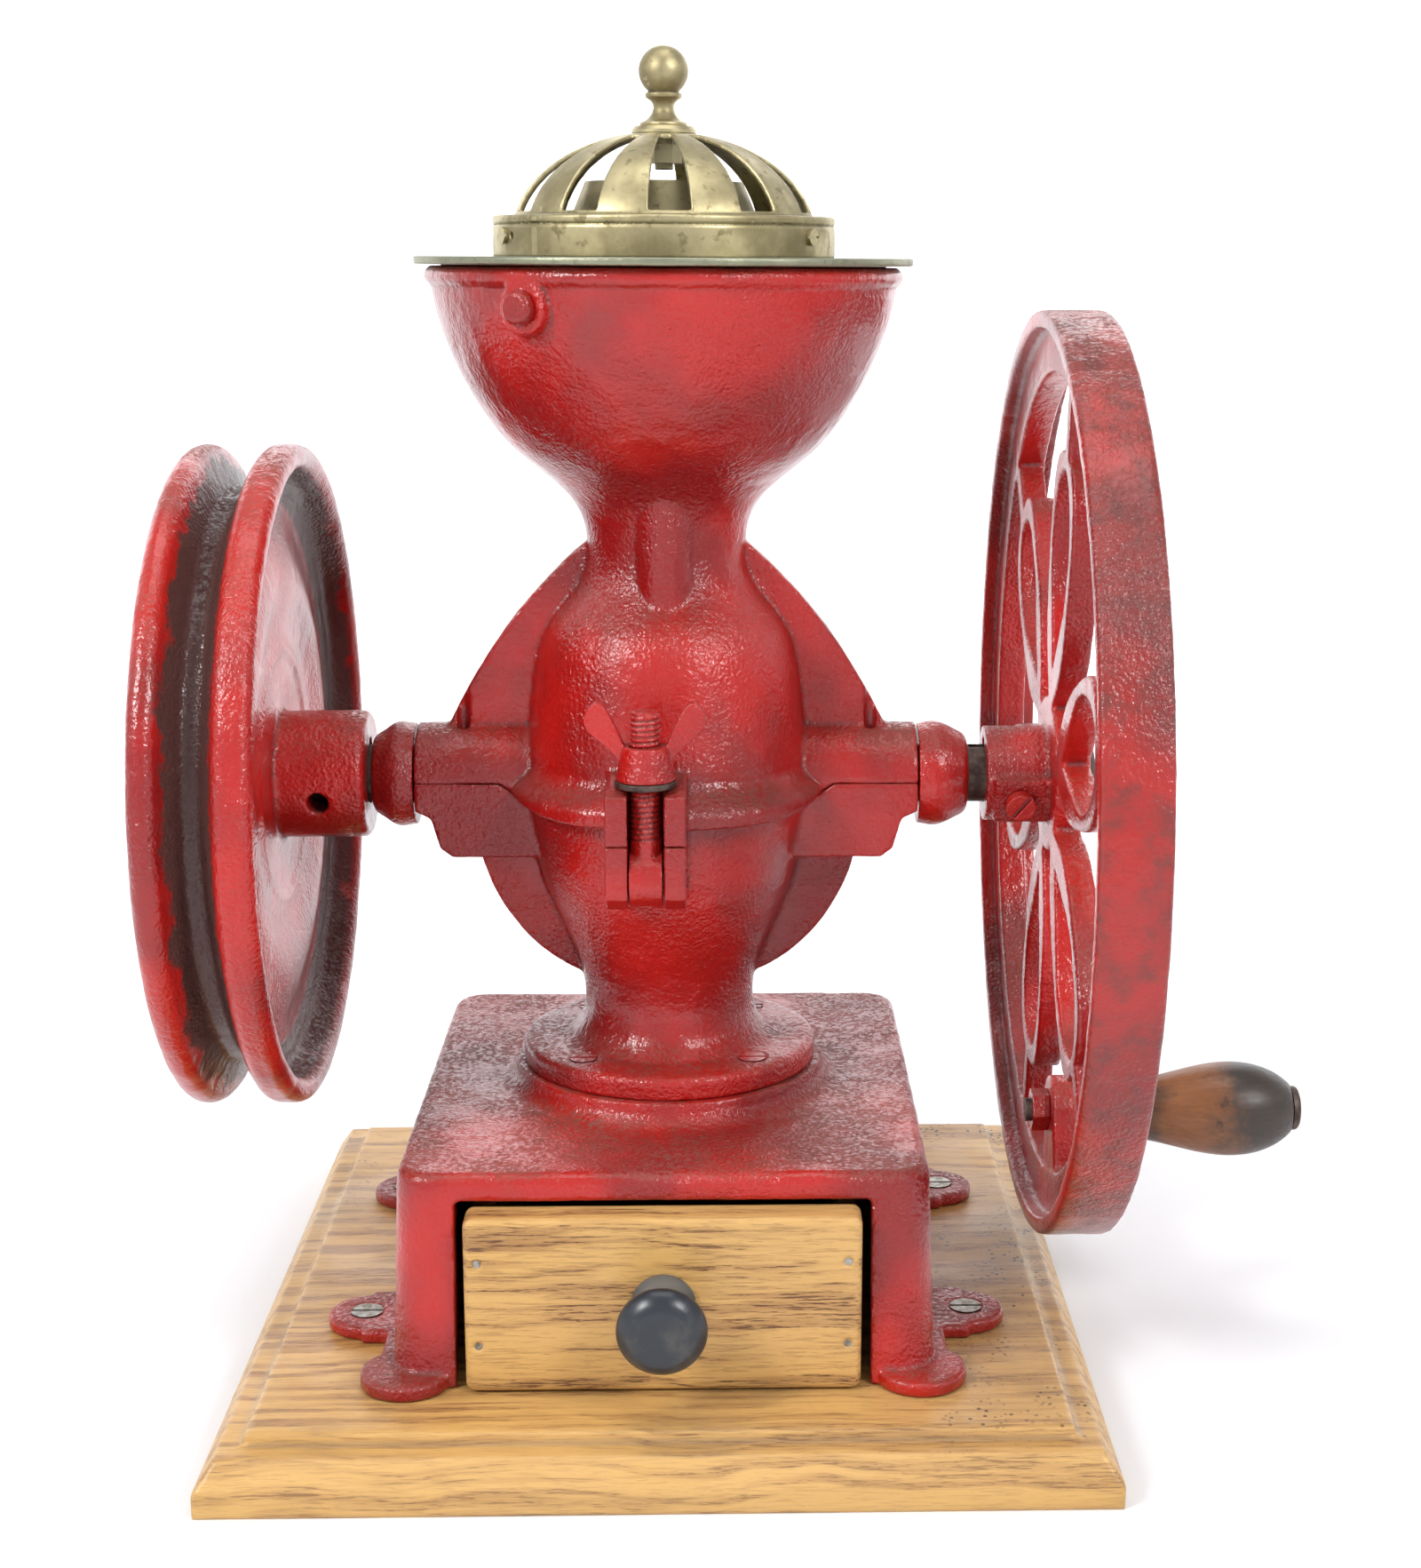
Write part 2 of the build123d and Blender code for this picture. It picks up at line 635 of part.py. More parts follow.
def make_collars():
    # Both collars are domed away from the bearing they run against.
    for name, side, length in (("left_collar", -1, 15), ("right_collar", 1, 17.5)):
        start = BEARING_X + END_GAP
        with BuildPart() as collar:
            with BuildSketch(Plane.XZ):
                with BuildLine():
                    Line((side * start, SHAFT_Z), (side * start, SHAFT_Z + 17.4))
                    Line((side * start, SHAFT_Z + 17.4), (side * (start + 5), SHAFT_Z + 18.3))
                    Spline(
                        (side * (start + 5), SHAFT_Z + 18.3),
                        (side * (start + length - 3.5), SHAFT_Z + 15.2),
                        (side * (start + length), SHAFT_Z + SHAFT_R + 1),
                        tangents=[(side * 1, 0), (0, -1)],
                    )
                    Line((side * (start + length), SHAFT_Z + SHAFT_R + 1), (side * (start + length), SHAFT_Z))
                    Line((side * (start + length), SHAFT_Z), (side * start, SHAFT_Z))
                make_face()
            revolve(axis=Axis((0, 0, SHAFT_Z), (1, 0, 0)))
            with BuildSketch(along_shaft(side * start - 40)):
                with Locations((0, SHAFT_Z)):
                    Circle(SHAFT_R)
            extrude(amount=80, mode=Mode.SUBTRACT)
        save(name, collar.part)


def burr_teeth(x, depth, count):
    # Radial saw-cuts in the face of a burr.
    with BuildPart(mode=Mode.PRIVATE) as cuts:
        with BuildSketch(along_shaft(x)):
            with Locations((0, SHAFT_Z)):
                with PolarLocations((BURR_R + BURR_BORE_R) / 2 + 3, count):
                    Rectangle(BURR_R - BURR_BORE_R, 1.6)
        extrude(amount=depth)
    return cuts.part


def make_burrs():
    with BuildPart() as fixed_burr:
        with BuildSketch(along_shaft(DIAPHRAGM_X - BURR_T)):
            with Locations((0, SHAFT_Z)):
                Circle(BURR_R)
                Circle(BURR_BORE_R, mode=Mode.SUBTRACT)
        extrude(amount=BURR_T)
        add(burr_teeth(DIAPHRAGM_X - BURR_T, 2, 18), mode=Mode.SUBTRACT)
    save("fixed_burr", fixed_burr.part)
    face = DIAPHRAGM_X - BURR_T - 0.6
    with BuildPart() as turning_burr:
        with BuildSketch(along_shaft(face - BURR_T)):
            with Locations((0, SHAFT_Z)):
                Circle(BURR_R)
                Circle(SHAFT_R, mode=Mode.SUBTRACT)
        extrude(amount=BURR_T)
        add(burr_teeth(face - 2, 2, 16), mode=Mode.SUBTRACT)
    save("turning_burr", turning_burr.part)
    with BuildPart() as burr_hub:
        with BuildSketch(along_shaft(face - BURR_T - 9)):
            with Locations((0, SHAFT_Z)):
                Circle(17)
                Circle(SHAFT_R, mode=Mode.SUBTRACT)
        extrude(amount=9)
        with BuildSketch(Plane.XY.offset(SHAFT_Z)):
            with Locations((face - BURR_T - 4.5, 0)):
                Circle(2)
        extrude(amount=20, mode=Mode.SUBTRACT)
    save("burr_hub", burr_hub.part)
    with BuildPart() as hub_pin:
        with BuildSketch(Plane.XY.offset(SHAFT_Z + SHAFT_R)):
            with Locations((face - BURR_T - 4.5, 0)):
                Circle(2)
        extrude(amount=6.4)
    save("hub_screw", hub_pin.part)


def make_feed_worm():
    with BuildPart() as feed_worm:
        with BuildSketch(along_shaft(6)):
            with Locations((0, SHAFT_Z)):
                Circle(12)
                Circle(SHAFT_R, mode=Mode.SUBTRACT)
        extrude(amount=34)
        with BuildSketch(along_shaft(19)):
            with Locations((0, SHAFT_Z)):
                Rectangle(6, 29)
                Circle(SHAFT_R, mode=Mode.SUBTRACT)
        flight = feed_worm.pending_faces[:]
        feed_worm.pending_faces.clear()
        for face in flight:
            add(Solid.extrude_linear_with_rotation(face, (19, 0, SHAFT_Z), (20, 0, 0), 200))
    save("feed_worm", feed_worm.part)


# ---------------------------------------------------------------- wheels

def make_pulley():
    out_x, in_x = PULLEY_OUT_X, PULLEY_IN_X
    rim = PULLEY_R
    with BuildPart() as pulley:
        with BuildSketch(Plane.XZ):
            with BuildLine():
                Polyline((-133, SHAFT_Z + SHAFT_R), (-133, SHAFT_Z + 40), (-131.5, SHAFT_Z + 43))
                Spline(
                    (-131.5, SHAFT_Z + 43),
                    (-131.2, SHAFT_Z + 58),
                    (-129.6, SHAFT_Z + 66),
                    (-131.4, SHAFT_Z + 76),
                    (-133, SHAFT_Z + 98),
                )
                RadiusArc((-133, SHAFT_Z + 98), (-129, SHAFT_Z + 103), 5)
                Line((-129, SHAFT_Z + 103), (in_x - 2, SHAFT_Z + 105))
                ThreePointArc((in_x - 2, SHAFT_Z + 105), (in_x, SHAFT_Z + rim - 4), (in_x - 5, SHAFT_Z + rim))
                Line((in_x - 5, SHAFT_Z + rim), (in_x - 9, SHAFT_Z + rim))
                RadiusArc((in_x - 9, SHAFT_Z + rim), (in_x - 13, SHAFT_Z + rim - 5), -5)
                Line((in_x - 13, SHAFT_Z + rim - 5), (-140, SHAFT_Z + GROOVE_R))
                Line((-140, SHAFT_Z + GROOVE_R), (-146, SHAFT_Z + GROOVE_R))
                Line((-146, SHAFT_Z + GROOVE_R), (out_x + 10, SHAFT_Z + rim - 5))
                RadiusArc((out_x + 10, SHAFT_Z + rim - 5), (out_x + 5, SHAFT_Z + rim), -5)
                ThreePointArc((out_x + 5, SHAFT_Z + rim), (out_x, SHAFT_Z + rim - 5), (out_x + 3, SHAFT_Z + 103))
                Polyline(
                    (out_x + 3, SHAFT_Z + 103),
                    (-149, SHAFT_Z + 92),
                    (-141, SHAFT_Z + 88),
                    (-141, SHAFT_Z + 30),
                    (-145, SHAFT_Z + PULLEY_HUB_R),
                    (-145, SHAFT_Z + SHAFT_R),
                    (-133, SHAFT_Z + SHAFT_R),
                )
            make_face()
        revolve(axis=Axis((0, 0, SHAFT_Z), (1, 0, 0)))
        with BuildSketch(along_shaft(-145)):
            with Locations((0, SHAFT_Z)):
                Circle(PULLEY_HUB_R)
        extrude(amount=145 + PULLEY_HUB_X)
        hub_end = pulley.edges().filter_by(GeomType.CIRCLE).sort_by(Axis.X)[-1:]
        chamfer(hub_end, 1.5)
        with BuildSketch(along_shaft(-150)):
            with Locations((0, SHAFT_Z)):
                Circle(SHAFT_R)
            with Locations((0, SHAFT_Z + SHAFT_R)):
                Rectangle(5, 5)
        extrude(amount=60, mode=Mode.SUBTRACT)
        with BuildSketch(Plane.XZ):
            with Locations((-118, SHAFT_Z - 6)):
                Circle(3.6)
        extrude(amount=30, mode=Mode.SUBTRACT)
    save("pulley", pulley.part)


def petal(inset):
    # One loop of the flywheel's spokes: narrow at the hub and round towards the rim.
    start, tip, half = 20 + 3.2 * inset, PETAL_TIP_R + 3 - inset, PETAL_HALF_W + 3 - inset
    with BuildSketch(mode=Mode.PRIVATE) as loop:
        with BuildLine():
            for side in (-1, 1):
                Spline(
                    (start, 0),
                    (start + 22, side * half * 0.64),
                    (PETAL_WIDE_R, side * half),
                    (tip, 0),
                    tangents=[(1, side * 0.5), (0, -side)],
                )
        make_face()
    return loop.sketch


def make_flywheel():
    half_w, half_web = WHEEL_W / 2, WEB_RING_W / 2
    crank_y, crank_z = crank_point()
    with BuildPart() as flywheel:
        with BuildSketch(along_shaft(WHEEL_X - half_w)):
            with Locations((0, SHAFT_Z)):
                Circle(WHEEL_R)
                Circle(WHEEL_R - BAND_T, mode=Mode.SUBTRACT)
        extrude(amount=WHEEL_W)
        fillet(flywheel.edges().filter_by(GeomType.CIRCLE).sort_by(SortBy.RADIUS)[-2:], 1.6)
        with BuildSketch(along_shaft(WHEEL_X - half_web)):
            with Locations((0, SHAFT_Z)):
                Circle(WHEEL_R - BAND_T + 1)
                Circle(WEB_RING_R, mode=Mode.SUBTRACT)
        extrude(amount=WEB_RING_W)
        with BuildSketch(along_shaft(WHEEL_X - half_web + 0.5)):
            with Locations((0, SHAFT_Z)):
                with PolarLocations(0, PETALS, start_angle=PETAL_START):
                    add(petal(0))
                with PolarLocations((PETAL_TIP_R + WEB_RING_R) / 2 + 1, PETALS, start_angle=PETAL_START):
                    Rectangle(WEB_RING_R - PETAL_TIP_R + 4, 8)
                Circle(27)
                with PolarLocations(0, PETALS, start_angle=PETAL_START):
                    add(petal(PETAL_T), mode=Mode.SUBTRACT)
            with Locations((crank_y, crank_z)):
                Circle(CRANK_BOSS_R)
            with Locations((0, SHAFT_Z)):
                with PolarLocations((WEB_RING_R + CRANK_RADIUS) / 2, 1, start_angle=CRANK_ANGLE):
                    Rectangle(WEB_RING_R - CRANK_RADIUS + 2, 2 * CRANK_BOSS_R)
        extrude(amount=WEB_RING_W - 1)
        with BuildSketch(along_shaft(WHEEL_X)):
            with Locations((crank_y, crank_z)):
                Circle(CRANK_BOSS_R - 1.5)
        extrude(amount=half_w)
        with BuildSketch(along_shaft(WHEEL_HUB_IN)):
            with Locations((0, SHAFT_Z)):
                Circle(WHEEL_HUB_R)
        extrude(amount=WHEEL_HUB_OUT - WHEEL_HUB_IN)
        with BuildSketch(set_screw_plane(10)):
            Rectangle(18, 17)
        extrude(amount=8.5)
        with BuildSketch(along_shaft(WHEEL_HUB_IN - 1)):
            with Locations((0, SHAFT_Z)):
                Circle(SHAFT_R)
            with Locations((0, SHAFT_Z + SHAFT_R)):
                Rectangle(5, 5)
            with Locations((crank_y, crank_z)):
                Circle(CRANK_BOLT_R)
        extrude(amount=60, mode=Mode.SUBTRACT)
        with BuildSketch(set_screw_plane(SHAFT_R - 1)):
            Circle(3)
        extrude(amount=20, mode=Mode.SUBTRACT)
    save("flywheel", flywheel.part)


def set_screw_plane(radius):
    # Square to the flywheel hub, towards the user and a little down.
    angle = radians(202)
    out = (0, cos(angle), sin(angle))
    origin = (WHEEL_HUB_IN + 11.5, radius * out[1], SHAFT_Z + radius * out[2])
    return Plane(origin=origin, x_dir=(1, 0, 0), z_dir=out)


def make_set_screw():
    with BuildPart() as wheel_set_screw:
        with BuildSketch(set_screw_plane(SHAFT_R)):
            Circle(3)
        extrude(amount=8.5)
        with BuildSketch(set_screw_plane(18.5)):
            Circle(5.2)
        extrude(amount=3.6)
        with BuildSketch(set_screw_plane(22.1)):
            Rectangle(12, 1.3, rotation=55)
        extrude(amount=-1.3, mode=Mode.SUBTRACT)
    save("wheel_set_screw", wheel_set_screw.part)


# ---------------------------------------------------------------- crank handle

def make_crank():
    y, z = crank_point()
    seat = WHEEL_X + WHEEL_W / 2
    grip_start = seat + 2
    grip_end = grip_start + GRIP_LENGTH
    web_back = WHEEL_X - WEB_RING_W / 2 + 0.5
    with BuildPart() as crank_bolt:
        with BuildSketch(along_shaft(web_back - 8)):
            with Locations((y, z)):
                Circle(CRANK_BOLT_R)
        extrude(amount=grip_end + 0.6 - web_back + 8)
        with BuildSketch(along_shaft(grip_end + 0.4)):
            with Locations((y, z)):
                Circle(7.6)
        extrude(amount=2.6)
        fillet(crank_bolt.edges().filter_by(GeomType.CIRCLE).sort_by(Axis.X)[-1:], 1.6)
    save("crank_bolt", crank_bolt.part)

    with BuildPart() as crank_washer:
        with BuildSketch(along_shaft(seat)):
            with Locations((y, z)):
                Circle(9)
                Circle(CRANK_BOLT_R, mode=Mode.SUBTRACT)
        extrude(amount=1.6)
    save("crank_washer", crank_washer.part)

    with BuildPart() as crank_nut:
        with BuildSketch(along_shaft(web_back - 6)):
            with Locations((y, z)):
                RegularPolygon(7.5, 6)
                Circle(CRANK_BOLT_R, mode=Mode.SUBTRACT)
        extrude(amount=6)
    save("crank_nut", crank_nut.part)

    with BuildPart() as crank_grip:
        with BuildSketch(Plane.XZ.offset(-y)):
            with BuildLine():
                Polyline((grip_start, z), (grip_start, z + 9), (grip_start + 3, z + 9.6))
                Spline(
                    (grip_start + 3, z + 9.6),
                    (grip_start + 24, z + 12.6),
                    (grip_start + 45, z + GRIP_R),
                    (grip_start + 58, z + 13.8),
                    (grip_end, z + 8.5),
                )
                Polyline((grip_end, z + 8.5), (grip_end, z), (grip_start, z))
            make_face()
        revolve(axis=Axis((0, y, z), (1, 0, 0)))
        with BuildSketch(along_shaft(grip_start - 1)):
            with Locations((y, z)):
                Circle(CRANK_BOLT_R + RUN_GAP)
        extrude(amount=GRIP_LENGTH + 2, mode=Mode.SUBTRACT)
    save("crank_grip", crank_grip.part)


# ---------------------------------------------------------------- lid

def make_lid():
    with BuildPart() as flange_plate:
        with BuildSketch(Plane.XZ):
            with BuildLine():
                Polyline(
                    (PLATE_BORE_R, PLATE_Z),
                    (PLATE_BORE_R, PLATE_Z + PLATE_T),
                    (PLATE_R, PLATE_Z + PLATE_T),
                    (PLATE_R, PLATE_Z),
                    (SPIGOT_R, PLATE_Z),
                    (SPIGOT_R, PLATE_Z - SPIGOT_DROP),
                    (SPIGOT_R - SPIGOT_T, PLATE_Z - SPIGOT_DROP),
                    (SPIGOT_R - SPIGOT_T, PLATE_Z),
                    close=True,
                )
            make_face()
        revolve(axis=Axis.Z)
    save("flange_plate", flange_plate.part)

    ring_z = PLATE_Z + PLATE_T
    with BuildPart() as gallery_ring:
        with BuildSketch(Plane.XZ):
            with BuildLine():
                Polyline(
                    (RING_R - 4, ring_z),
                    (RING_R, ring_z),
                    (RING_R, RING_TOP_Z - 3.6),
                    (RING_R - 0.6, RING_TOP_Z - 3),
                    (RING_R, RING_TOP_Z - 2.4),
                    (RING_R, RING_TOP_Z - 0.6),
                    (RING_R - 0.8, RING_TOP_Z),
                    (RING_R - 1.5, RING_TOP_Z),
                    (RING_R - 1.5, ring_z + 1.4),
                    (RING_R - 4, ring_z + 1.4),
                    close=True,
                )
            make_face()
        revolve(axis=Axis.Z)
        for plane in gallery_screw_planes(RING_R - 3):
            with BuildSketch(plane):
                Circle(1.2)
                with Locations((4.6, 0)):
                    Circle(1.1)
            extrude(amount=5, mode=Mode.SUBTRACT)
    save("gallery_ring", gallery_ring.part)

    screws = []
    for plane in gallery_screw_planes(RING_R - 3.3):
        with BuildPart() as screw:
            with BuildSketch(plane):
                Circle(1.2)
            extrude(amount=3.3)
            with BuildSketch(plane.offset(3.3)):
                Circle(2.6)
            extrude(amount=1.4)
            with BuildSketch(plane.offset(4.7)):
                Rectangle(6, 0.7)
            extrude(amount=-0.7, mode=Mode.SUBTRACT)
        screws.append(screw.part)
    save("gallery_screws", Compound(children=screws))

    with BuildPart() as inner_collar:
        with BuildSketch(Plane.XZ):
            with BuildLine():
                Polyline(
                    (34, ring_z),
                    (38, ring_z),
                    (38, ring_z + 1.3),
                    (35.6, ring_z + 1.3),
                    (26, 400),
                    (24.6, 400),
                    (34, ring_z + 1),
                    close=True,
                )
            make_face()
        revolve(axis=Axis.Z)
    save("inner_collar", inner_collar.part)


def gallery_screw_planes(radius):
    planes = []
    for angle in (207, 327, 87):
        out = (cos(radians(angle)), sin(radians(angle)), 0)
        origin = (radius * out[0], radius * out[1], RING_TOP_Z - 6.6)
        planes.append(Plane(origin=origin, x_dir=(-out[1], out[0], 0), z_dir=out))
    return planes


def make_dome():
    skirt_r = RING_R - 1.7
    with BuildPart() as dome:
        with BuildSketch(Plane.XZ):
            with Locations((0, DOME_BASE_Z)):
                Ellipse(DOME_R, DOME_RISE)
                Ellipse(DOME_R - DOME_T, DOME_RISE - DOME_T, mode=Mode.SUBTRACT)
            with Locations((DOME_R, RING_TOP_Z - 1 + 50)):
                Rectangle(2 * DOME_R, 100, mode=Mode.INTERSECT)
            with BuildLine():
                Polyline(
                    (DOME_R - 2.6, RING_TOP_Z - 1),
                    (skirt_r - 1.4, RING_TOP_Z - 2.6),
                    (skirt_r - 1.4, RING_TOP_Z - 10),
                    (skirt_r, RING_TOP_Z - 10),
                    (skirt_r, RING_TOP_Z - 1),
                    (DOME_R - 0.4, RING_TOP_Z + 0.2),
                    close=True,
                )
            make_face()
        revolve(axis=Axis.Z)
        with BuildSketch(Plane.XY.offset(RING_TOP_Z + 1.2)):
            with PolarLocations(0, WINDOWS, start_angle=-86.6):
                add(dome_window())
        extrude(amount=40, mode=Mode.SUBTRACT)
        with BuildSketch(Plane.XY.offset(400)):
            Circle(3)
        extrude(amount=30, mode=Mode.SUBTRACT)
        for plane in gallery_screw_planes(RING_R - 6):
            with BuildSketch(plane):
                Circle(1.2)
            extrude(amount=5, mode=Mode.SUBTRACT)
    save("dome", dome.part)

    cap_z = DOME_BASE_Z + DOME_RISE - 0.6
    with BuildPart() as dome_cap:
        with BuildSketch(Plane.XZ):
            with BuildLine():
                Polyline((3, cap_z), (10.6, cap_z), (10.6, cap_z + 1), (9.6, cap_z + 2.2), (3, cap_z + 2.2), close=True)
            make_face()
        revolve(axis=Axis.Z)
        add(dome_body(0), mode=Mode.SUBTRACT)
    save("dome_cap", dome_cap.part)

    foot_z = cap_z + 2.2
    with BuildPart() as finial:
        with BuildSketch(Plane.XZ):
            with BuildLine():
                Polyline((0, 404), (3, 404), (3, foot_z), (7.7, foot_z), (7.7, foot_z + 1.2))
                Spline((7.7, foot_z + 1.2), (4.4, foot_z + 3.4), (3.4, foot_z + 6), (5.0, foot_z + 8.6))
                Polyline((5.0, foot_z + 8.6), (6, foot_z + 9.2), (6, foot_z + 10.4), (4, foot_z + 11.2))
                Line((4, foot_z + 11.2), (0, foot_z + 11.2))
                Line((0, foot_z + 11.2), (0, 404))
            make_face()
            with Locations((0, BALL_Z)):
                Circle(BALL_R)
            with Locations((-BALL_R, BALL_Z)):
                Rectangle(2 * BALL_R, 4 * BALL_R, mode=Mode.SUBTRACT)
        revolve(axis=Axis.Z)
    save("finial", finial.part)

    with BuildPart() as finial_nut:
        with BuildSketch(Plane.XY.offset(406)):
            RegularPolygon(6, 6)
            Circle(3, mode=Mode.SUBTRACT)
        extrude(amount=6)
        add(dome_body(DOME_T), mode=Mode.INTERSECT)
    save("finial_nut", finial_nut.part)


def dome_body(inset):
    # The solid inside the dome's outer surface, or inside its wall.
    with BuildPart(mode=Mode.PRIVATE) as body:
        with BuildSketch(Plane.XZ):
            with Locations((0, DOME_BASE_Z)):
                Ellipse(DOME_R - inset, DOME_RISE - inset)
            with Locations((DOME_R, DOME_BASE_Z + DOME_RISE / 2)):
                Rectangle(2 * DOME_R, DOME_RISE, mode=Mode.INTERSECT)
        revolve(axis=Axis.Z)
    return body.part


def dome_window():
    with BuildSketch(mode=Mode.PRIVATE) as window:
        with BuildLine():
            Polyline((14.5, 2.0), (53, 7.6), (53, -7.6), (14.5, -2.0), close=True)
        make_face()
        fillet(window.vertices().sort_by(Axis.X)[0:2], 1.4)
    return window.sketch


# ---------------------------------------------------------------- drawer

def make_drawer():
    bottom = BOARD_Z + SLIDE_GAP
    back_y = DRAWER_FRONT_Y + DRAWER_DEPTH
    inner = DRAWER_FRONT_Y + DRAWER_FRONT_T
    side_x = BAY_X / 2 - 4.2
    with BuildPart() as drawer_front:
        with BuildSketch(Plane.XZ.offset(-inner)):
            with Locations((0, (bottom + DRAWER_TOP_Z) / 2)):
                RectangleRounded(DRAWER_X, DRAWER_TOP_Z - bottom, 3)
        extrude(amount=DRAWER_FRONT_T)
        fillet(drawer_front.faces().sort_by(Axis.Y)[0].edges(), 2)
        with BuildSketch(Plane.XZ.offset(-inner)):
            with Locations((0, KNOB_Z)):
                Circle(2)
                with GridLocations(2 * side_x - SIDE_T, NAIL_PITCH, 2, 2):
                    Circle(NAIL_R)
        extrude(amount=DRAWER_FRONT_T, mode=Mode.SUBTRACT)
    save("drawer_front", drawer_front.part)

    for name, side in (("drawer_left_side", -1), ("drawer_right_side", 1)):
        with BuildPart() as drawer_side:
            with BuildSketch(Plane.XY.offset(bottom + 1)):
                with Locations((side * (side_x - SIDE_T / 2), (inner + back_y) / 2)):
                    Rectangle(SIDE_T, back_y - inner)
            extrude(amount=SIDE_TOP_Z - bottom - 1)
        save(name, drawer_side.part)

    with BuildPart() as drawer_back:
        with BuildSketch(Plane.XY.offset(bottom + 1)):
            with Locations((0, back_y - SIDE_T / 2)):
                Rectangle(2 * (side_x - SIDE_T), SIDE_T)
        extrude(amount=SIDE_TOP_Z - bottom - 1)
    save("drawer_back", drawer_back.part)

    with BuildPart() as drawer_bottom:
        with BuildSketch(Plane.XY.offset(bottom + 1)):
            with Locations((0, (inner + back_y - SIDE_T) / 2)):
                Rectangle(2 * (side_x - SIDE_T), back_y - SIDE_T - inner)
        extrude(amount=4)
    save("drawer_bottom", drawer_bottom.part)

    front = DRAWER_FRONT_Y
    with BuildPart() as drawer_knob:
        with BuildSketch(Plane.XY.offset(KNOB_Z)):
            with BuildLine():
                Polyline((0, front), (10.3, front), (10.3, front - 1.5))
                Spline((10.3, front - 1.5), (7, front - 5), (6.4, front - 9), (9.5, front - 14), (KNOB_R, front - 18.5))
                Spline(
                    (KNOB_R, front - 18.5),
                    (12.4, front - 22.6),
                    (0, front - KNOB_OUT),
                    tangents=[(0.25, -1), (-1, 0)],
                )
                Line((0, front - KNOB_OUT), (0, front))
            make_face()
        revolve(axis=Axis((0, 0, KNOB_Z), (0, 1, 0)))
        with BuildSketch(Plane.XZ.offset(-front)):
            with Locations((0, KNOB_Z)):
                Circle(2)
        extrude(amount=12, mode=Mode.SUBTRACT)
    save("drawer_knob", drawer_knob.part)

    with BuildPart() as knob_screw:
        with BuildSketch(Plane.XZ.offset(-front + -DRAWER_FRONT_T)):
            with Locations((0, KNOB_Z)):
                Circle(2)
        extrude(amount=DRAWER_FRONT_T + 12)
        with BuildSketch(Plane.XZ.offset(-inner)):
            with Locations((0, KNOB_Z)):
                Circle(4)
        extrude(amount=-2.4)
    save("knob_screw", knob_screw.part)

    with BuildPart() as drawer_nails:
        with BuildSketch(Plane.XZ.offset(-inner)):
            with Locations((0, KNOB_Z)):
                with GridLocations(2 * side_x - SIDE_T, NAIL_PITCH, 2, 2):
                    Circle(NAIL_R)
        extrude(amount=DRAWER_FRONT_T - 0.4)
    save("drawer_nails", drawer_nails.part)


def main():
    make_board()
    make_iron_base()
    make_base_screws()
    make_lower_body()
    make_upper_body()
    make_hopper_bolt()
    make_flange_screws()
    make_hinge_pin()
    make_clamp()
    make_shaft()
    make_collars()
    make_burrs()
    make_feed_worm()
    make_pulley()
    make_flywheel()
    make_set_screw()
    make_crank()
    make_lid()
    make_dome()
    make_drawer()


main()
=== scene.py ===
"""Looks of a hand-cranked counter coffee mill: enamelled cast iron, aged brass and oak, in metres."""
import json

from math import atan2, cos, pi, radians, sin

import bpy
import mathutils
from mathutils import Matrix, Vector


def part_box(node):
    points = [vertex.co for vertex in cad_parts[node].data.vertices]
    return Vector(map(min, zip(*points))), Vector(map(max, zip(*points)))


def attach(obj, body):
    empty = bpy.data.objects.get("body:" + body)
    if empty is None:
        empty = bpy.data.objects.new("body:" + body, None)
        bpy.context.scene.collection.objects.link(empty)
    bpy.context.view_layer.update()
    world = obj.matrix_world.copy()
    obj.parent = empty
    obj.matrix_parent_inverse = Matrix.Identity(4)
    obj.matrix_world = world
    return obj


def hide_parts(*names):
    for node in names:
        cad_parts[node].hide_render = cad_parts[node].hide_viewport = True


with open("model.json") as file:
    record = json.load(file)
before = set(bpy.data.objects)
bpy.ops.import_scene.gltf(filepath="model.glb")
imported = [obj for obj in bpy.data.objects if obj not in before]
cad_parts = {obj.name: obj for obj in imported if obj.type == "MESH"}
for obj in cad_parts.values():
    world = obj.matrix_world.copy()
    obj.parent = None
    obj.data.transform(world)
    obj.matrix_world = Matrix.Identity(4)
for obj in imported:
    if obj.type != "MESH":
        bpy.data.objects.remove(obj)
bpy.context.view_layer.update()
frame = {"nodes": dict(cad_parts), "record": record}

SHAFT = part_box("shaft")
SHAFT_Z = (SHAFT[0].z + SHAFT[1].z) / 2
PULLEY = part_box("pulley")


# ---------------------------------------------------------------- node graphs

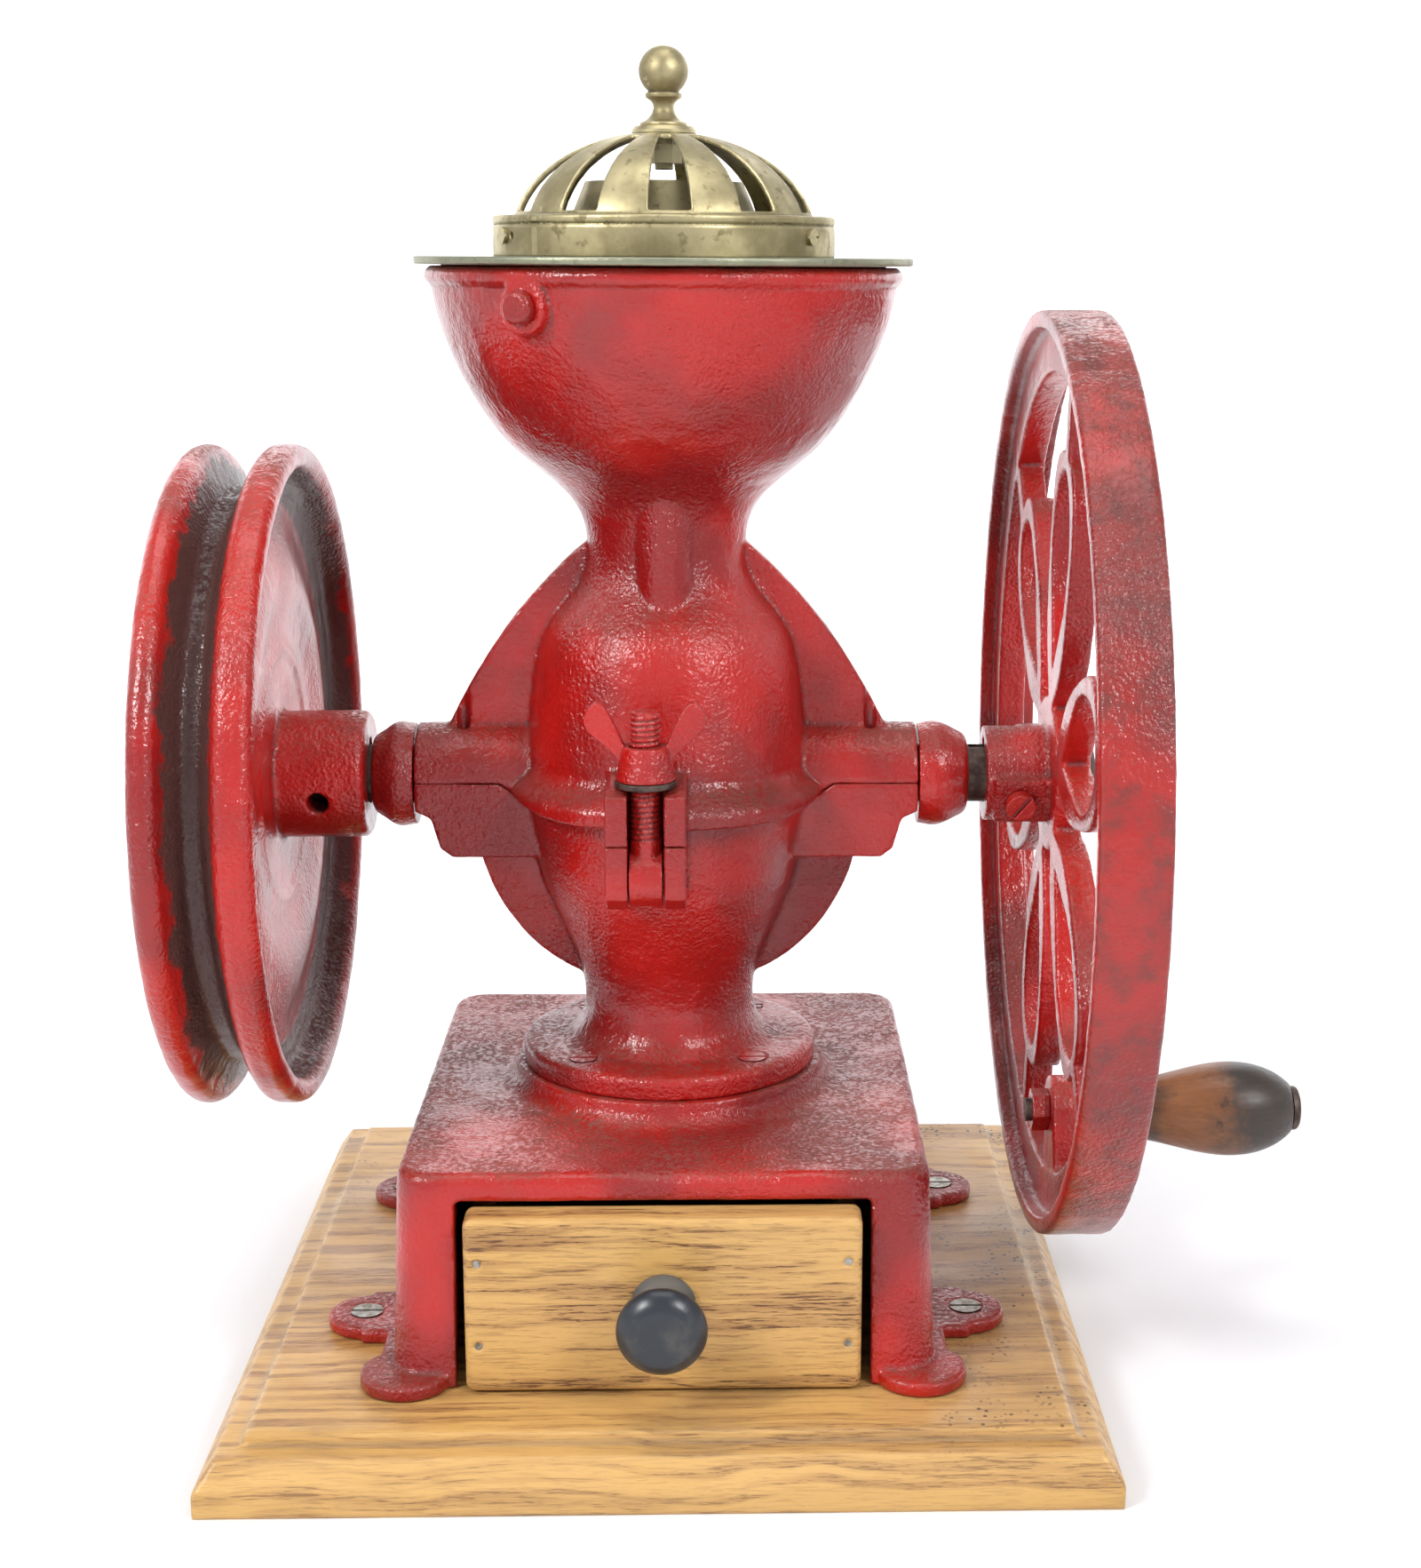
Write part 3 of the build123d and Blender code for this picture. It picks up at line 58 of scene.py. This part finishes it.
class Graph:
    """A material's node graph, with one short call for each kind of node it needs."""

    def __init__(self, name):
        self.material = bpy.data.materials.new(name)
        self.material.use_nodes = True
        self.tree = self.material.node_tree
        self.shader = self.tree.nodes["Principled BSDF"]
        self.coords = self.add("ShaderNodeTexCoord")

    def add(self, kind, **settings):
        node = self.tree.nodes.new(kind)
        for key, value in settings.items():
            setattr(node, key, value)
        return node

    def put(self, value, socket):
        if isinstance(value, bpy.types.NodeSocket):
            self.tree.links.new(value, socket)
        elif isinstance(value, (tuple, list)) and socket.type == "RGBA":
            socket.default_value = (*value, 1)
        else:
            socket.default_value = value

    def set(self, **sockets):
        """Sets the shader's own sockets; an underscore stands for a space in a socket's name."""
        for key, value in sockets.items():
            self.put(value, self.shader.inputs[key.replace("_", " ")])

    def place(self, scale):
        """Object coordinates, stretched by scale along each axis."""
        node = self.add("ShaderNodeMapping")
        node.inputs["Scale"].default_value = scale
        self.tree.links.new(self.coords.outputs["Object"], node.inputs["Vector"])
        return node.outputs["Vector"]

    def noise(self, scale, detail=4, rough=0.55, at=None):
        node = self.add("ShaderNodeTexNoise")
        node.inputs["Scale"].default_value = scale
        node.inputs["Detail"].default_value = detail
        node.inputs["Roughness"].default_value = rough
        self.put(at or self.coords.outputs["Object"], node.inputs["Vector"])
        return node.outputs["Fac"]

    def cells(self, scale, at=None):
        node = self.add("ShaderNodeTexVoronoi")
        node.inputs["Scale"].default_value = scale
        self.put(at or self.coords.outputs["Object"], node.inputs["Vector"])
        return node.outputs["Distance"]

    def math(self, operation, a, b=0.0):
        node = self.add("ShaderNodeMath", operation=operation)
        self.put(a, node.inputs[0])
        self.put(b, node.inputs[1])
        return node.outputs[0]

    def step(self, value, low, high, out_low=0.0, out_high=1.0):
        """A smooth step of value from low to high."""
        node = self.add("ShaderNodeMapRange", interpolation_type="SMOOTHSTEP")
        node.inputs["From Min"].default_value = low
        node.inputs["From Max"].default_value = high
        node.inputs["To Min"].default_value = out_low
        node.inputs["To Max"].default_value = out_high
        self.put(value, node.inputs["Value"])
        return node.outputs["Result"]

    def mix(self, share, a, b):
        node = self.add("ShaderNodeMix", data_type="RGBA")
        self.put(share, node.inputs[0])
        self.put(a, node.inputs[6])
        self.put(b, node.inputs[7])
        return node.outputs[2]

    def axis(self, name):
        """One of the object's coordinates."""
        node = self.add("ShaderNodeSeparateXYZ")
        self.tree.links.new(self.coords.outputs["Object"], node.inputs[0])
        return node.outputs[name]

    def upward(self):
        """How far the surface faces up at rest, from -1 to 1."""
        node = self.add("ShaderNodeSeparateXYZ")
        self.tree.links.new(self.coords.outputs["Normal"], node.inputs[0])
        return node.outputs["Z"]

    def edges(self):
        """About 0.5 on flat faces, more on outer edges and less in corners."""
        return self.add("ShaderNodeNewGeometry").outputs["Pointiness"]

    def radius(self):
        """Distance from the shaft's axis."""
        across = self.math("POWER", self.axis("Y"), 2.0)
        height = self.math("POWER", self.math("SUBTRACT", self.axis("Z"), SHAFT_Z), 2.0)
        return self.math("SQRT", self.math("ADD", across, height))

    def bump(self, height, strength, distance, under=None):
        node = self.add("ShaderNodeBump")
        node.inputs["Strength"].default_value = strength
        node.inputs["Distance"].default_value = distance
        self.put(height, node.inputs["Height"])
        if under:
            self.put(under, node.inputs["Normal"])
        return node.outputs["Normal"]


# ---------------------------------------------------------------- materials

RED_BRIGHT = (0.44, 0.008, 0.005)
RED_DEEP = (0.25, 0.005, 0.005)
DUST_PINK = (0.24, 0.085, 0.065)
DUST_BROWN = (0.13, 0.068, 0.046)
WORN_BROWN = (0.075, 0.025, 0.02)


def enamel(name, dust=1.0, wear=None, seed=0.0):
    """Thick glossy red enamel on rough cast iron, dusty where it faces up and brown where it is worn."""
    g = Graph(name)
    at = g.add("ShaderNodeVectorMath", operation="ADD")
    at.inputs[1].default_value = (seed, seed * 0.7, seed * 0.3)
    g.tree.links.new(g.coords.outputs["Object"], at.inputs[0])
    at = at.outputs[0]
    patches = g.step(g.noise(17, 3, 0.5, at), 0.40, 0.62)
    red = g.mix(patches, RED_BRIGHT, RED_DEEP)
    grain = g.noise(620, 4, 0.6, at)
    cloud = g.noise(34, 5, 0.6, at)
    lies = g.step(g.upward(), 0.15, 0.95)
    smudge = g.step(cloud, 0.52, 0.76, 0.0, 0.30)
    amount = g.math("ADD", g.math("MULTIPLY", lies, g.step(cloud, 0.30, 0.62, 0.35, 1.0)), smudge)
    speckled = g.math("MULTIPLY", amount, g.step(grain, 0.40, 0.60, 0.25, 1.0))
    film = g.math("MULTIPLY", speckled, 0.60 * dust)
    film = g.math("MINIMUM", film, 0.9)
    tone = g.mix(g.step(g.noise(55, 3, 0.5, at), 0.42, 0.62), DUST_PINK, DUST_BROWN)
    color = g.mix(film, red, tone)
    # Painted shade: the colour goes dark red where pointiness is low, in corners and creases; the same
    # mask also raises roughness there.
    crease_shade = g.step(g.edges(), 0.495, 0.455, 0.0, 0.75)
    color = g.mix(crease_shade, color, (0.10, 0.02, 0.018))
    pits = g.step(g.cells(430, at), 0.16, 0.05, 0.0, 0.55)
    pits = g.math("MULTIPLY", pits, g.step(g.noise(60, 2, 0.5, at), 0.50, 0.62))
    color = g.mix(pits, color, (0.07, 0.018, 0.015))
    rough = g.math("ADD", g.step(film, 0.05, 0.7, 0.30, 0.65), g.math("MULTIPLY", crease_shade, 0.25))
    if wear:
        bare = wear(g, g.noise(70, 5, 0.65, at))
        color = g.mix(bare, color, WORN_BROWN)
        rough = g.math("ADD", rough, g.math("MULTIPLY", bare, 0.3))
    orange_peel = g.noise(760, 2, 0.5, at)
    calm = g.step(g.noise(22, 2, 0.5, at), 0.40, 0.62, 0.30, 1.0)
    normal = g.bump(g.math("MULTIPLY", orange_peel, calm), 0.7, 0.0011)
    normal = g.bump(g.noise(150, 2, 0.5, at), 0.5, 0.0012, normal)
    g.set(Base_Color=color, Roughness=rough, Normal=normal, Coat_Normal=normal)
    g.set(Coat_Weight=g.step(film, 0.05, 0.5, 0.6, 0.06))
    g.set(Specular_IOR_Level=0.35, Coat_Roughness=0.09)
    return g.material


def groove_wear(g, noise):
    """Bare dark iron in the pulley's belt groove, ragged at its edges."""
    ragged = g.math("MULTIPLY", g.math("SUBTRACT", noise, 0.5), 0.022)
    inside = g.step(g.math("ADD", g.radius(), ragged), 0.1085, 0.1055)
    left = g.step(g.axis("X"), PULLEY[0].x + 0.003, PULLEY[0].x + 0.006)
    right = g.step(g.axis("X"), PULLEY[1].x - 0.020, PULLEY[1].x - 0.024)
    outer = g.step(g.radius(), 0.092, 0.095)
    return g.math("MULTIPLY", g.math("MULTIPLY", inside, outer), g.math("MULTIPLY", left, right))


def rim_wear(g, noise):
    """Thin brown wear on the flywheel's outer rim, where hands and belts have rubbed it."""
    rim = g.step(g.radius(), 0.1565, 0.1582)
    return g.math("MULTIPLY", rim, g.step(noise, 0.40, 0.66, 0.22, 0.72))


OAK_PALE = (0.61, 0.355, 0.105)
OAK_RING = (0.33, 0.155, 0.042)
OAK_BROAD = (0.60, 0.37, 0.15)
OAK_PORE = (0.13, 0.052, 0.018)
OAK_STAIN = (0.20, 0.13, 0.075)
COFFEE_GROUNDS = (0.025, 0.014, 0.01)


def oak(name, dirt, contrast):
    """Open-grained oak with its grain along X, and coffee grounds lying on what faces up."""
    g = Graph(name)
    sway = g.math("MULTIPLY", g.math("SUBTRACT", g.noise(1.0, 2, 0.5, g.place((16, 12, 12))), 0.5), 0.012)
    node = g.add("ShaderNodeCombineXYZ")
    g.put(g.math("MULTIPLY", g.axis("X"), 0.03), node.inputs[0])
    g.put(g.math("ADD", g.axis("Y"), sway), node.inputs[1])
    g.put(g.math("ADD", g.axis("Z"), sway), node.inputs[2])
    rings = g.step(g.noise(190, 4, 0.62, node.outputs[0]), 0.42, 0.64)
    color = g.mix(g.math("MULTIPLY", rings, 0.55 + 0.45 * contrast), OAK_PALE, OAK_RING)
    broad = g.step(g.noise(1.0, 2, 0.5, g.place((3, 22, 22))), 0.35, 0.68)
    color = g.mix(g.math("MULTIPLY", broad, 0.35), color, OAK_BROAD)
    pores = g.noise(1.0, 3, 0.7, g.place((90, 1500, 1500)))
    open_pores = g.math("MULTIPLY", g.step(pores, 0.51, 0.61), g.step(rings, 0.25, 0.75, 0.30, 1.0))
    color = g.mix(g.math("MULTIPLY", open_pores, contrast), color, OAK_PORE)
    flat = g.step(g.upward(), 0.6, 0.95)
    stain = g.math("MULTIPLY", flat, g.step(g.noise(13, 5, 0.6), 0.44, 0.70, 0.0, dirt))
    color = g.mix(stain, color, OAK_STAIN)
    side = g.math("ADD", g.step(g.axis("X"), 0.03, 0.12), g.step(g.axis("Y"), 0.02, 0.11))
    where = g.math("MULTIPLY", side, g.step(g.noise(26, 4, 0.65), 0.47, 0.66))
    specks = g.step(g.cells(380), 0.30, 0.22)
    color = g.mix(g.math("MULTIPLY", g.math("MULTIPLY", specks, flat), where), color, COFFEE_GROUNDS)
    # Painted shade: the colour goes dark brown where pointiness is low, in corners and creases.
    crease_shade = g.step(g.edges(), 0.49, 0.44, 0.0, 0.7)
    color = g.mix(crease_shade, color, (0.10, 0.05, 0.025))
    rough = g.step(g.noise(40, 3, 0.5), 0.3, 0.7, 0.36, 0.56)
    normal = g.bump(g.math("SUBTRACT", 1.0, open_pores), 0.35, 0.0004)
    normal = g.bump(g.noise(60, 4, 0.6, g.place((0.4, 3, 3))), 0.15, 0.0008, normal)
    g.set(Base_Color=color, Roughness=rough, Normal=normal)
    g.set(Coat_Weight=0.18, Coat_Roughness=0.25)
    return g.material


def brass(name, bright, tarnish, amount, rough_low):
    """Old brass: a worn bright metal under a brown-green tarnish, with fine scratches."""
    g = Graph(name)
    cloud = g.step(g.noise(42, 5, 0.6), 0.35, 0.70)
    spots = g.step(g.noise(210, 4, 0.6), 0.52, 0.70)
    polish = g.step(g.edges(), 0.505, 0.56)
    dull = g.math("MULTIPLY", g.math("MAXIMUM", cloud, spots), amount)
    dull = g.math("SUBTRACT", dull, g.math("MULTIPLY", polish, 0.6))
    dull = g.math("MAXIMUM", dull, 0.0)
    color = g.mix(dull, bright, tarnish)
    corner = g.step(g.edges(), 0.49, 0.45, 0.0, 0.8)
    color = g.mix(corner, color, (0.035, 0.035, 0.022))
    smears = g.step(g.noise(300, 3), 0.4, 0.7, 0.0, 0.08)
    rough = g.math("ADD", g.step(dull, 0.0, 1.0, rough_low, 0.52), smears)
    scratches = g.noise(1.0, 3, 0.6, g.place((2400, 300, 300)))
    normal = g.bump(scratches, 0.10, 0.0002)
    normal = g.bump(g.noise(70, 3, 0.5), 0.15, 0.001, normal)
    g.set(Base_Color=color, Roughness=rough, Metallic=g.step(dull, 0.3, 1.0, 1.0, 0.72), Normal=normal)
    return g.material


def grip_wood():
    """Dark turned wood, worn through to orange brown round its middle."""
    g = Graph("worn_grip_wood")
    low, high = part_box("crank_grip")
    middle = low.x + 0.45 * (high.x - low.x)
    away = g.math("ABSOLUTE", g.math("SUBTRACT", g.axis("X"), middle))
    blotch = g.math("MULTIPLY", g.math("SUBTRACT", g.noise(70, 5, 0.65), 0.5), 0.045)
    worn = g.step(g.math("ADD", away, blotch), 0.022, 0.004)
    grain = g.noise(1.0, 4, 0.65, g.place((60, 900, 900)))
    light = g.mix(grain, (0.34, 0.125, 0.035), (0.15, 0.055, 0.02))
    dark = g.mix(grain, (0.055, 0.038, 0.028), (0.02, 0.014, 0.012))
    color = g.mix(g.math("MULTIPLY", worn, 0.85), dark, light)
    dents = g.step(g.noise(150, 4, 0.6), 0.6, 0.72, 0.0, 0.6)
    color = g.mix(dents, color, (0.012, 0.009, 0.008))
    normal = g.bump(g.noise(120, 4, 0.6), 0.25, 0.0006)
    g.set(Base_Color=color, Roughness=g.step(grain, 0.3, 0.7, 0.30, 0.48), Normal=normal)
    return g.material


def metal(name, clean, stained, scale, rough_low, rough_high, metallic):
    """Plain iron, steel or zinc with stains of a second colour."""
    g = Graph(name)
    stain = g.step(g.noise(scale, 5, 0.65), 0.38, 0.66)
    color = g.mix(stain, clean, stained)
    # Painted shade: the colour goes nearly black where pointiness is low, in corners and creases.
    color = g.mix(g.step(g.edges(), 0.49, 0.44, 0.0, 0.8), color, (0.02, 0.015, 0.012))
    rough = g.step(g.noise(scale * 3, 4, 0.6), 0.3, 0.7, rough_low, rough_high)
    g.set(Base_Color=color, Roughness=rough, Normal=g.bump(g.noise(scale * 5, 4), 0.25, 0.0004))
    g.set(Metallic=metallic)
    return g.material


def knob_paint():
    """Slate black knob, dusty behind its face."""
    g = Graph("slate_knob")
    low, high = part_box("drawer_knob")
    behind = g.step(g.axis("Y"), low.y + 0.006, low.y + 0.011)
    dusty = g.math("MULTIPLY", g.math("MULTIPLY", behind, g.step(g.upward(), -0.2, 0.7)), 0.7)
    film = g.math("MAXIMUM", dusty, g.step(g.noise(90, 5, 0.65), 0.50, 0.78, 0.0, 0.35))
    color = g.mix(film, (0.022, 0.026, 0.033), (0.16, 0.14, 0.11))
    normal = g.bump(g.noise(260, 3), 0.08, 0.0004)
    g.set(Base_Color=color, Roughness=g.step(film, 0.0, 0.6, 0.30, 0.7), Normal=normal)
    return g.material


MATERIALS = {
    "red_body": enamel("red_body", 1.0),
    "red_base": enamel("red_base", 1.15, seed=3.0),
    "red_small": enamel("red_small", 0.8, seed=5.0),
    "red_pulley": enamel("red_pulley", 1.1, groove_wear, seed=7.0),
    "red_wheel": enamel("red_wheel", 0.9, rim_wear, seed=9.0),
    "oak_board": oak("oak_board", 0.40, 0.60),
    "oak_drawer": oak("oak_drawer", 0.12, 1.0),
    "old_brass": brass("old_brass", (0.50, 0.43, 0.25), (0.23, 0.19, 0.095), 1.0, 0.40),
    "plate_brass": brass("plate_brass", (0.31, 0.31, 0.22), (0.19, 0.20, 0.135), 0.9, 0.42),
    "grip_wood": grip_wood(),
    "zinc": metal("zinc", (0.42, 0.41, 0.37), (0.20, 0.17, 0.13), 260, 0.35, 0.6, 0.85),
    "brown_steel": metal("brown_steel", (0.12, 0.085, 0.07), (0.05, 0.03, 0.024), 190, 0.35, 0.6, 0.6),
    "bare_iron": metal("bare_iron", (0.10, 0.085, 0.08), (0.05, 0.032, 0.025), 150, 0.4, 0.65, 0.7),
    "slate_knob": knob_paint(),
}

SLOT_MATERIAL = {
    "red_enamel": "red_small",
    "oak_board": "oak_board",
    "oak_drawer": "oak_drawer",
    "dark_wood": "grip_wood",
    "brass": "old_brass",
    "plate_brass": "plate_brass",
    "slate_knob": "slate_knob",
    "zinc": "zinc",
    "bare_iron": "bare_iron",
    "steel": "brown_steel",
}


def dress_cad_nodes():
    for part in frame["record"]["subparts"]:
        mesh = frame["nodes"][part["node"]].data
        mesh.materials.clear()
        mesh.materials.append(MATERIALS[SLOT_MATERIAL[part["material_slot"]]])


# ---------------------------------------------------------------- cast pieces

LUMP_MID_LEVEL = 0.7


def copy_of(nodes, name):
    """One new mesh object holding copies of these CAD nodes' meshes."""
    copies = []
    for node in nodes:
        mesh = frame["nodes"][node].data.copy()
        piece = bpy.data.objects.new(name, mesh)
        bpy.context.scene.collection.objects.link(piece)
        copies.append(piece)
    bpy.ops.object.select_all(action="DESELECT")
    for piece in copies:
        piece.select_set(True)
    bpy.context.view_layer.objects.active = copies[0]
    if len(copies) > 1:
        bpy.ops.object.join()
    return copies[0]


def bake_modifiers(piece):
    bpy.context.view_layer.update()
    made = bpy.data.meshes.new_from_object(piece.evaluated_get(bpy.context.evaluated_depsgraph_get()))
    piece.modifiers.clear()
    piece.data = made


def soften(piece, voxel, rounds):
    """Adds an even fine mesh and rounds of smoothing, which take the sharpness off the edges."""
    remesh = piece.modifiers.new("remesh", "REMESH")
    remesh.mode = "VOXEL"
    remesh.voxel_size = voxel
    remesh.use_smooth_shade = True
    smooth = piece.modifiers.new("smooth", "SMOOTH")
    smooth.factor = 0.5
    smooth.iterations = rounds


def hand_over(piece, nodes, body, material):
    """Bakes and dresses the piece, and puts it in the place of its CAD nodes."""
    bake_modifiers(piece)
    piece.data.materials.clear()
    piece.data.materials.append(MATERIALS[material])
    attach(piece, body)
    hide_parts(*nodes)


def cast(name, nodes, body, material, voxel, rounds=4, lumps=0.00022, lump_size=0.009):
    """A cast and enamelled stand-in for CAD nodes: the same shape, with soft edges and a lumpy skin."""
    piece = copy_of(nodes, name)
    soften(piece, voxel, rounds)
    skin = bpy.data.textures.new(name + "_skin", "CLOUDS")
    skin.noise_scale = lump_size
    skin.noise_depth = 3
    lumpy = piece.modifiers.new("lumps", "DISPLACE")
    lumpy.texture = skin
    lumpy.texture_coords = "GLOBAL"
    lumpy.strength = 2 * lumps
    lumpy.mid_level = LUMP_MID_LEVEL
    hand_over(piece, nodes, body, material)
    return piece


def ease(name, node, body, material, voxel, rounds=2):
    """A stand-in for a CAD node with its edges eased by hand and wear, and no lumps."""
    piece = copy_of([node], name)
    soften(piece, voxel, rounds)
    hand_over(piece, [node], body, material)


THREAD_PITCH = 0.00175
THREAD_DEPTH = 0.0006
THREAD_CORE_R = 0.003
THREAD_START = 0.022


def cut_thread(piece, start_z, centre):
    """Cuts a helical thread into the upright rod of the piece, above start_z."""
    for vertex in piece.data.vertices:
        x, y, z = vertex.co
        if z < start_z:
            continue
        dx, dy = x - centre[0], y - centre[1]
        wave = 0.5 - 0.5 * cos(2 * pi * z / THREAD_PITCH - atan2(dy, dx))
        reach = (dx * dx + dy * dy) ** 0.5
        if reach > THREAD_CORE_R:
            shrink = 1 - THREAD_DEPTH * wave / reach
            vertex.co.x = centre[0] + dx * shrink
            vertex.co.y = centre[1] + dy * shrink


def make_castings():
    cast("cast_base", ["iron_base"], "stand", "red_base", 0.0009)
    cast("cast_lower_body", ["lower_body"], "stand", "red_body", 0.0008)
    cast("cast_upper_body", ["upper_body", "hopper"], "stand", "red_body", 0.0008)
    cast("cast_pulley", ["pulley"], "rotor", "red_pulley", 0.0009)
    cast("cast_flywheel", ["flywheel"], "rotor", "red_wheel", 0.0009)
    for side in ("left", "right"):
        cast(f"cast_{side}_collar", [f"{side}_collar"], "rotor", "red_small", 0.0005, 3, 0.00012)
    cast("cast_hopper_bolt", ["hopper_bolt"], "stand", "red_small", 0.0004, 3, 0.00012, 0.004)
    cast("cast_wing_nut", ["wing_nut"], "nut", "red_small", 0.0004, 4, 0.00008, 0.004)
    cast("cast_crank_nut", ["crank_nut"], "rotor", "red_small", 0.0004, 3, 0.00008, 0.004)
    cast("cast_set_screw", ["wheel_set_screw"], "rotor", "red_small", 0.0003, 2, 0.00005, 0.004)
    bolt = cast("cast_swing_bolt", ["swing_bolt"], "clamp", "red_small", 0.0003, 2, 0.00005, 0.004)
    low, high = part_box("swing_bolt")
    cut_thread(bolt, low.z + THREAD_START, ((low.x + high.x) / 2, (low.y + high.y) / 2))


def make_eased_pieces():
    ease("eased_board", "base_board", "stand", "oak_board", 0.0012)
    ease("eased_drawer_front", "drawer_front", "drawer", "oak_drawer", 0.0007)
    ease("eased_dome", "dome", "lid", "old_brass", 0.0004)
    ease("eased_gallery", "gallery_ring", "lid", "old_brass", 0.0004)
    ease("eased_plate", "flange_plate", "lid", "plate_brass", 0.0006)
    ease("eased_finial", "finial", "lid", "old_brass", 0.0003)
    ease("eased_grip", "crank_grip", "crank", "grip_wood", 0.0006)


# ---------------------------------------------------------------- surroundings

FLOOR_R = 1.7
SWEEP_R = 0.9
WALL_TOP = 2.4
FLOOR_TURNS = 96
SWEEP_STEPS = 12
FLOOR_TONE = (0.83, 0.835, 0.85)
WALL_TONE = (0.85, 0.855, 0.865)


def make_stage():
    """A pale floor that sweeps up into a round backdrop."""
    profile = [(0.0, 0.0), (0.5, 0.0), (1.0, 0.0), (FLOOR_R, 0.0)]
    angles = [k * pi / (2 * SWEEP_STEPS) for k in range(1, SWEEP_STEPS + 1)]
    profile += [(FLOOR_R + SWEEP_R * sin(a), SWEEP_R * (1 - cos(a))) for a in angles]
    profile.append((FLOOR_R + SWEEP_R, WALL_TOP))
    turns = FLOOR_TURNS
    points = [(0.0, 0.0, 0.0)]
    for r, z in profile[1:]:
        points += [(r * cos(2 * pi * k / turns), r * sin(2 * pi * k / turns), z) for k in range(turns)]
    faces = [(0, 1 + k, 1 + (k + 1) % turns) for k in range(turns)]
    for ring in range(len(profile) - 2):
        a, b = 1 + ring * turns, 1 + (ring + 1) * turns
        faces += [(a + k, b + k, b + (k + 1) % turns, a + (k + 1) % turns) for k in range(turns)]
    mesh = bpy.data.meshes.new("backdrop")
    mesh.from_pydata(points, [], faces)
    mesh.shade_smooth()
    floor = bpy.data.objects.new("backdrop", mesh)
    bpy.context.scene.collection.objects.link(floor)
    g = Graph("pale_paper")
    tone = g.mix(g.noise(3, 2), FLOOR_TONE, WALL_TONE)
    g.set(Base_Color=tone, Roughness=0.9)
    mesh.materials.append(g.material)


def soft_light(name, place, size, power, target=(0, 0, 0.22)):
    light = bpy.data.lights.new(name, "AREA")
    light.shape = "RECTANGLE"
    light.size, light.size_y = size
    light.energy = power
    lamp = bpy.data.objects.new(name, light)
    lamp.location = place
    direction = mathutils.Vector(target) - lamp.location
    lamp.rotation_euler = direction.to_track_quat("-Z", "Y").to_euler()
    lamp.visible_camera = False
    bpy.context.scene.collection.objects.link(lamp)


WORLD_TONE = (0.93, 0.96, 1.0, 1)
WORLD_STRENGTH = 0.34
SOFTBOX_SIZE = (0.40, 0.5)
WALL_LIGHT_SIZE = (0.8, 0.8)
WALL_LIGHT_POWER = 26


def make_lights():
    world = bpy.data.worlds.new("studio")
    world.use_nodes = True
    background = world.node_tree.nodes["Background"]
    background.inputs["Color"].default_value = WORLD_TONE
    background.inputs["Strength"].default_value = WORLD_STRENGTH
    bpy.context.scene.world = world
    soft_light("left_softbox", (-1.15, -1.0, 1.25), SOFTBOX_SIZE, 20)
    soft_light("right_softbox", (1.05, -1.1, 1.25), SOFTBOX_SIZE, 15)
    soft_light("top_softbox", (0.0, -0.1, 1.7), (1.2, 1.0), 9)
    soft_light("back_softbox", (0.0, 1.5, 1.3), (1.4, 0.7), 5)
    for name, side in (("left_wall_light", -1), ("right_wall_light", 1)):
        aim = (side * 0.7, FLOOR_R + SWEEP_R, 0.7)
        soft_light(name, (side * 1.3, 0.9, 1.3), WALL_LIGHT_SIZE, WALL_LIGHT_POWER, aim)
    bpy.context.scene.view_settings.view_transform = "Standard"


# The camera's place in metres, its turn, and its lens and sensor in millimetres.
CAMERA_AT = (0.0194, -0.7993, 0.3760)
CAMERA_YAW = radians(-1.89)
CAMERA_PITCH = radians(12.63)
CAMERA_ROLL = radians(0.34)
CAMERA_LENS = 53.92
CAMERA_SHIFT_X = -0.0567
CAMERA_SENSOR = 36
CAMERA_CLIP_START = 0.01


def make_camera():
    data = bpy.data.cameras.new("camera")
    data.sensor_width = CAMERA_SENSOR
    data.lens = CAMERA_LENS
    data.shift_x = CAMERA_SHIFT_X
    data.clip_start = CAMERA_CLIP_START
    flat = cos(CAMERA_PITCH)
    forward = mathutils.Vector((-sin(CAMERA_YAW) * flat, cos(CAMERA_YAW) * flat, -sin(CAMERA_PITCH)))
    level = mathutils.Vector((cos(CAMERA_YAW), sin(CAMERA_YAW), 0))
    rise = level.cross(forward)
    right = cos(CAMERA_ROLL) * level + sin(CAMERA_ROLL) * rise
    up = -sin(CAMERA_ROLL) * level + cos(CAMERA_ROLL) * rise
    turn = mathutils.Matrix((right, up, -forward)).transposed().to_4x4()
    camera = bpy.data.objects.new("camera", data)
    camera.matrix_world = mathutils.Matrix.Translation(CAMERA_AT) @ turn
    bpy.context.scene.collection.objects.link(camera)
    bpy.context.scene.camera = camera


make_camera()
make_stage()
make_lights()
dress_cad_nodes()
make_castings()
make_eased_pieces()
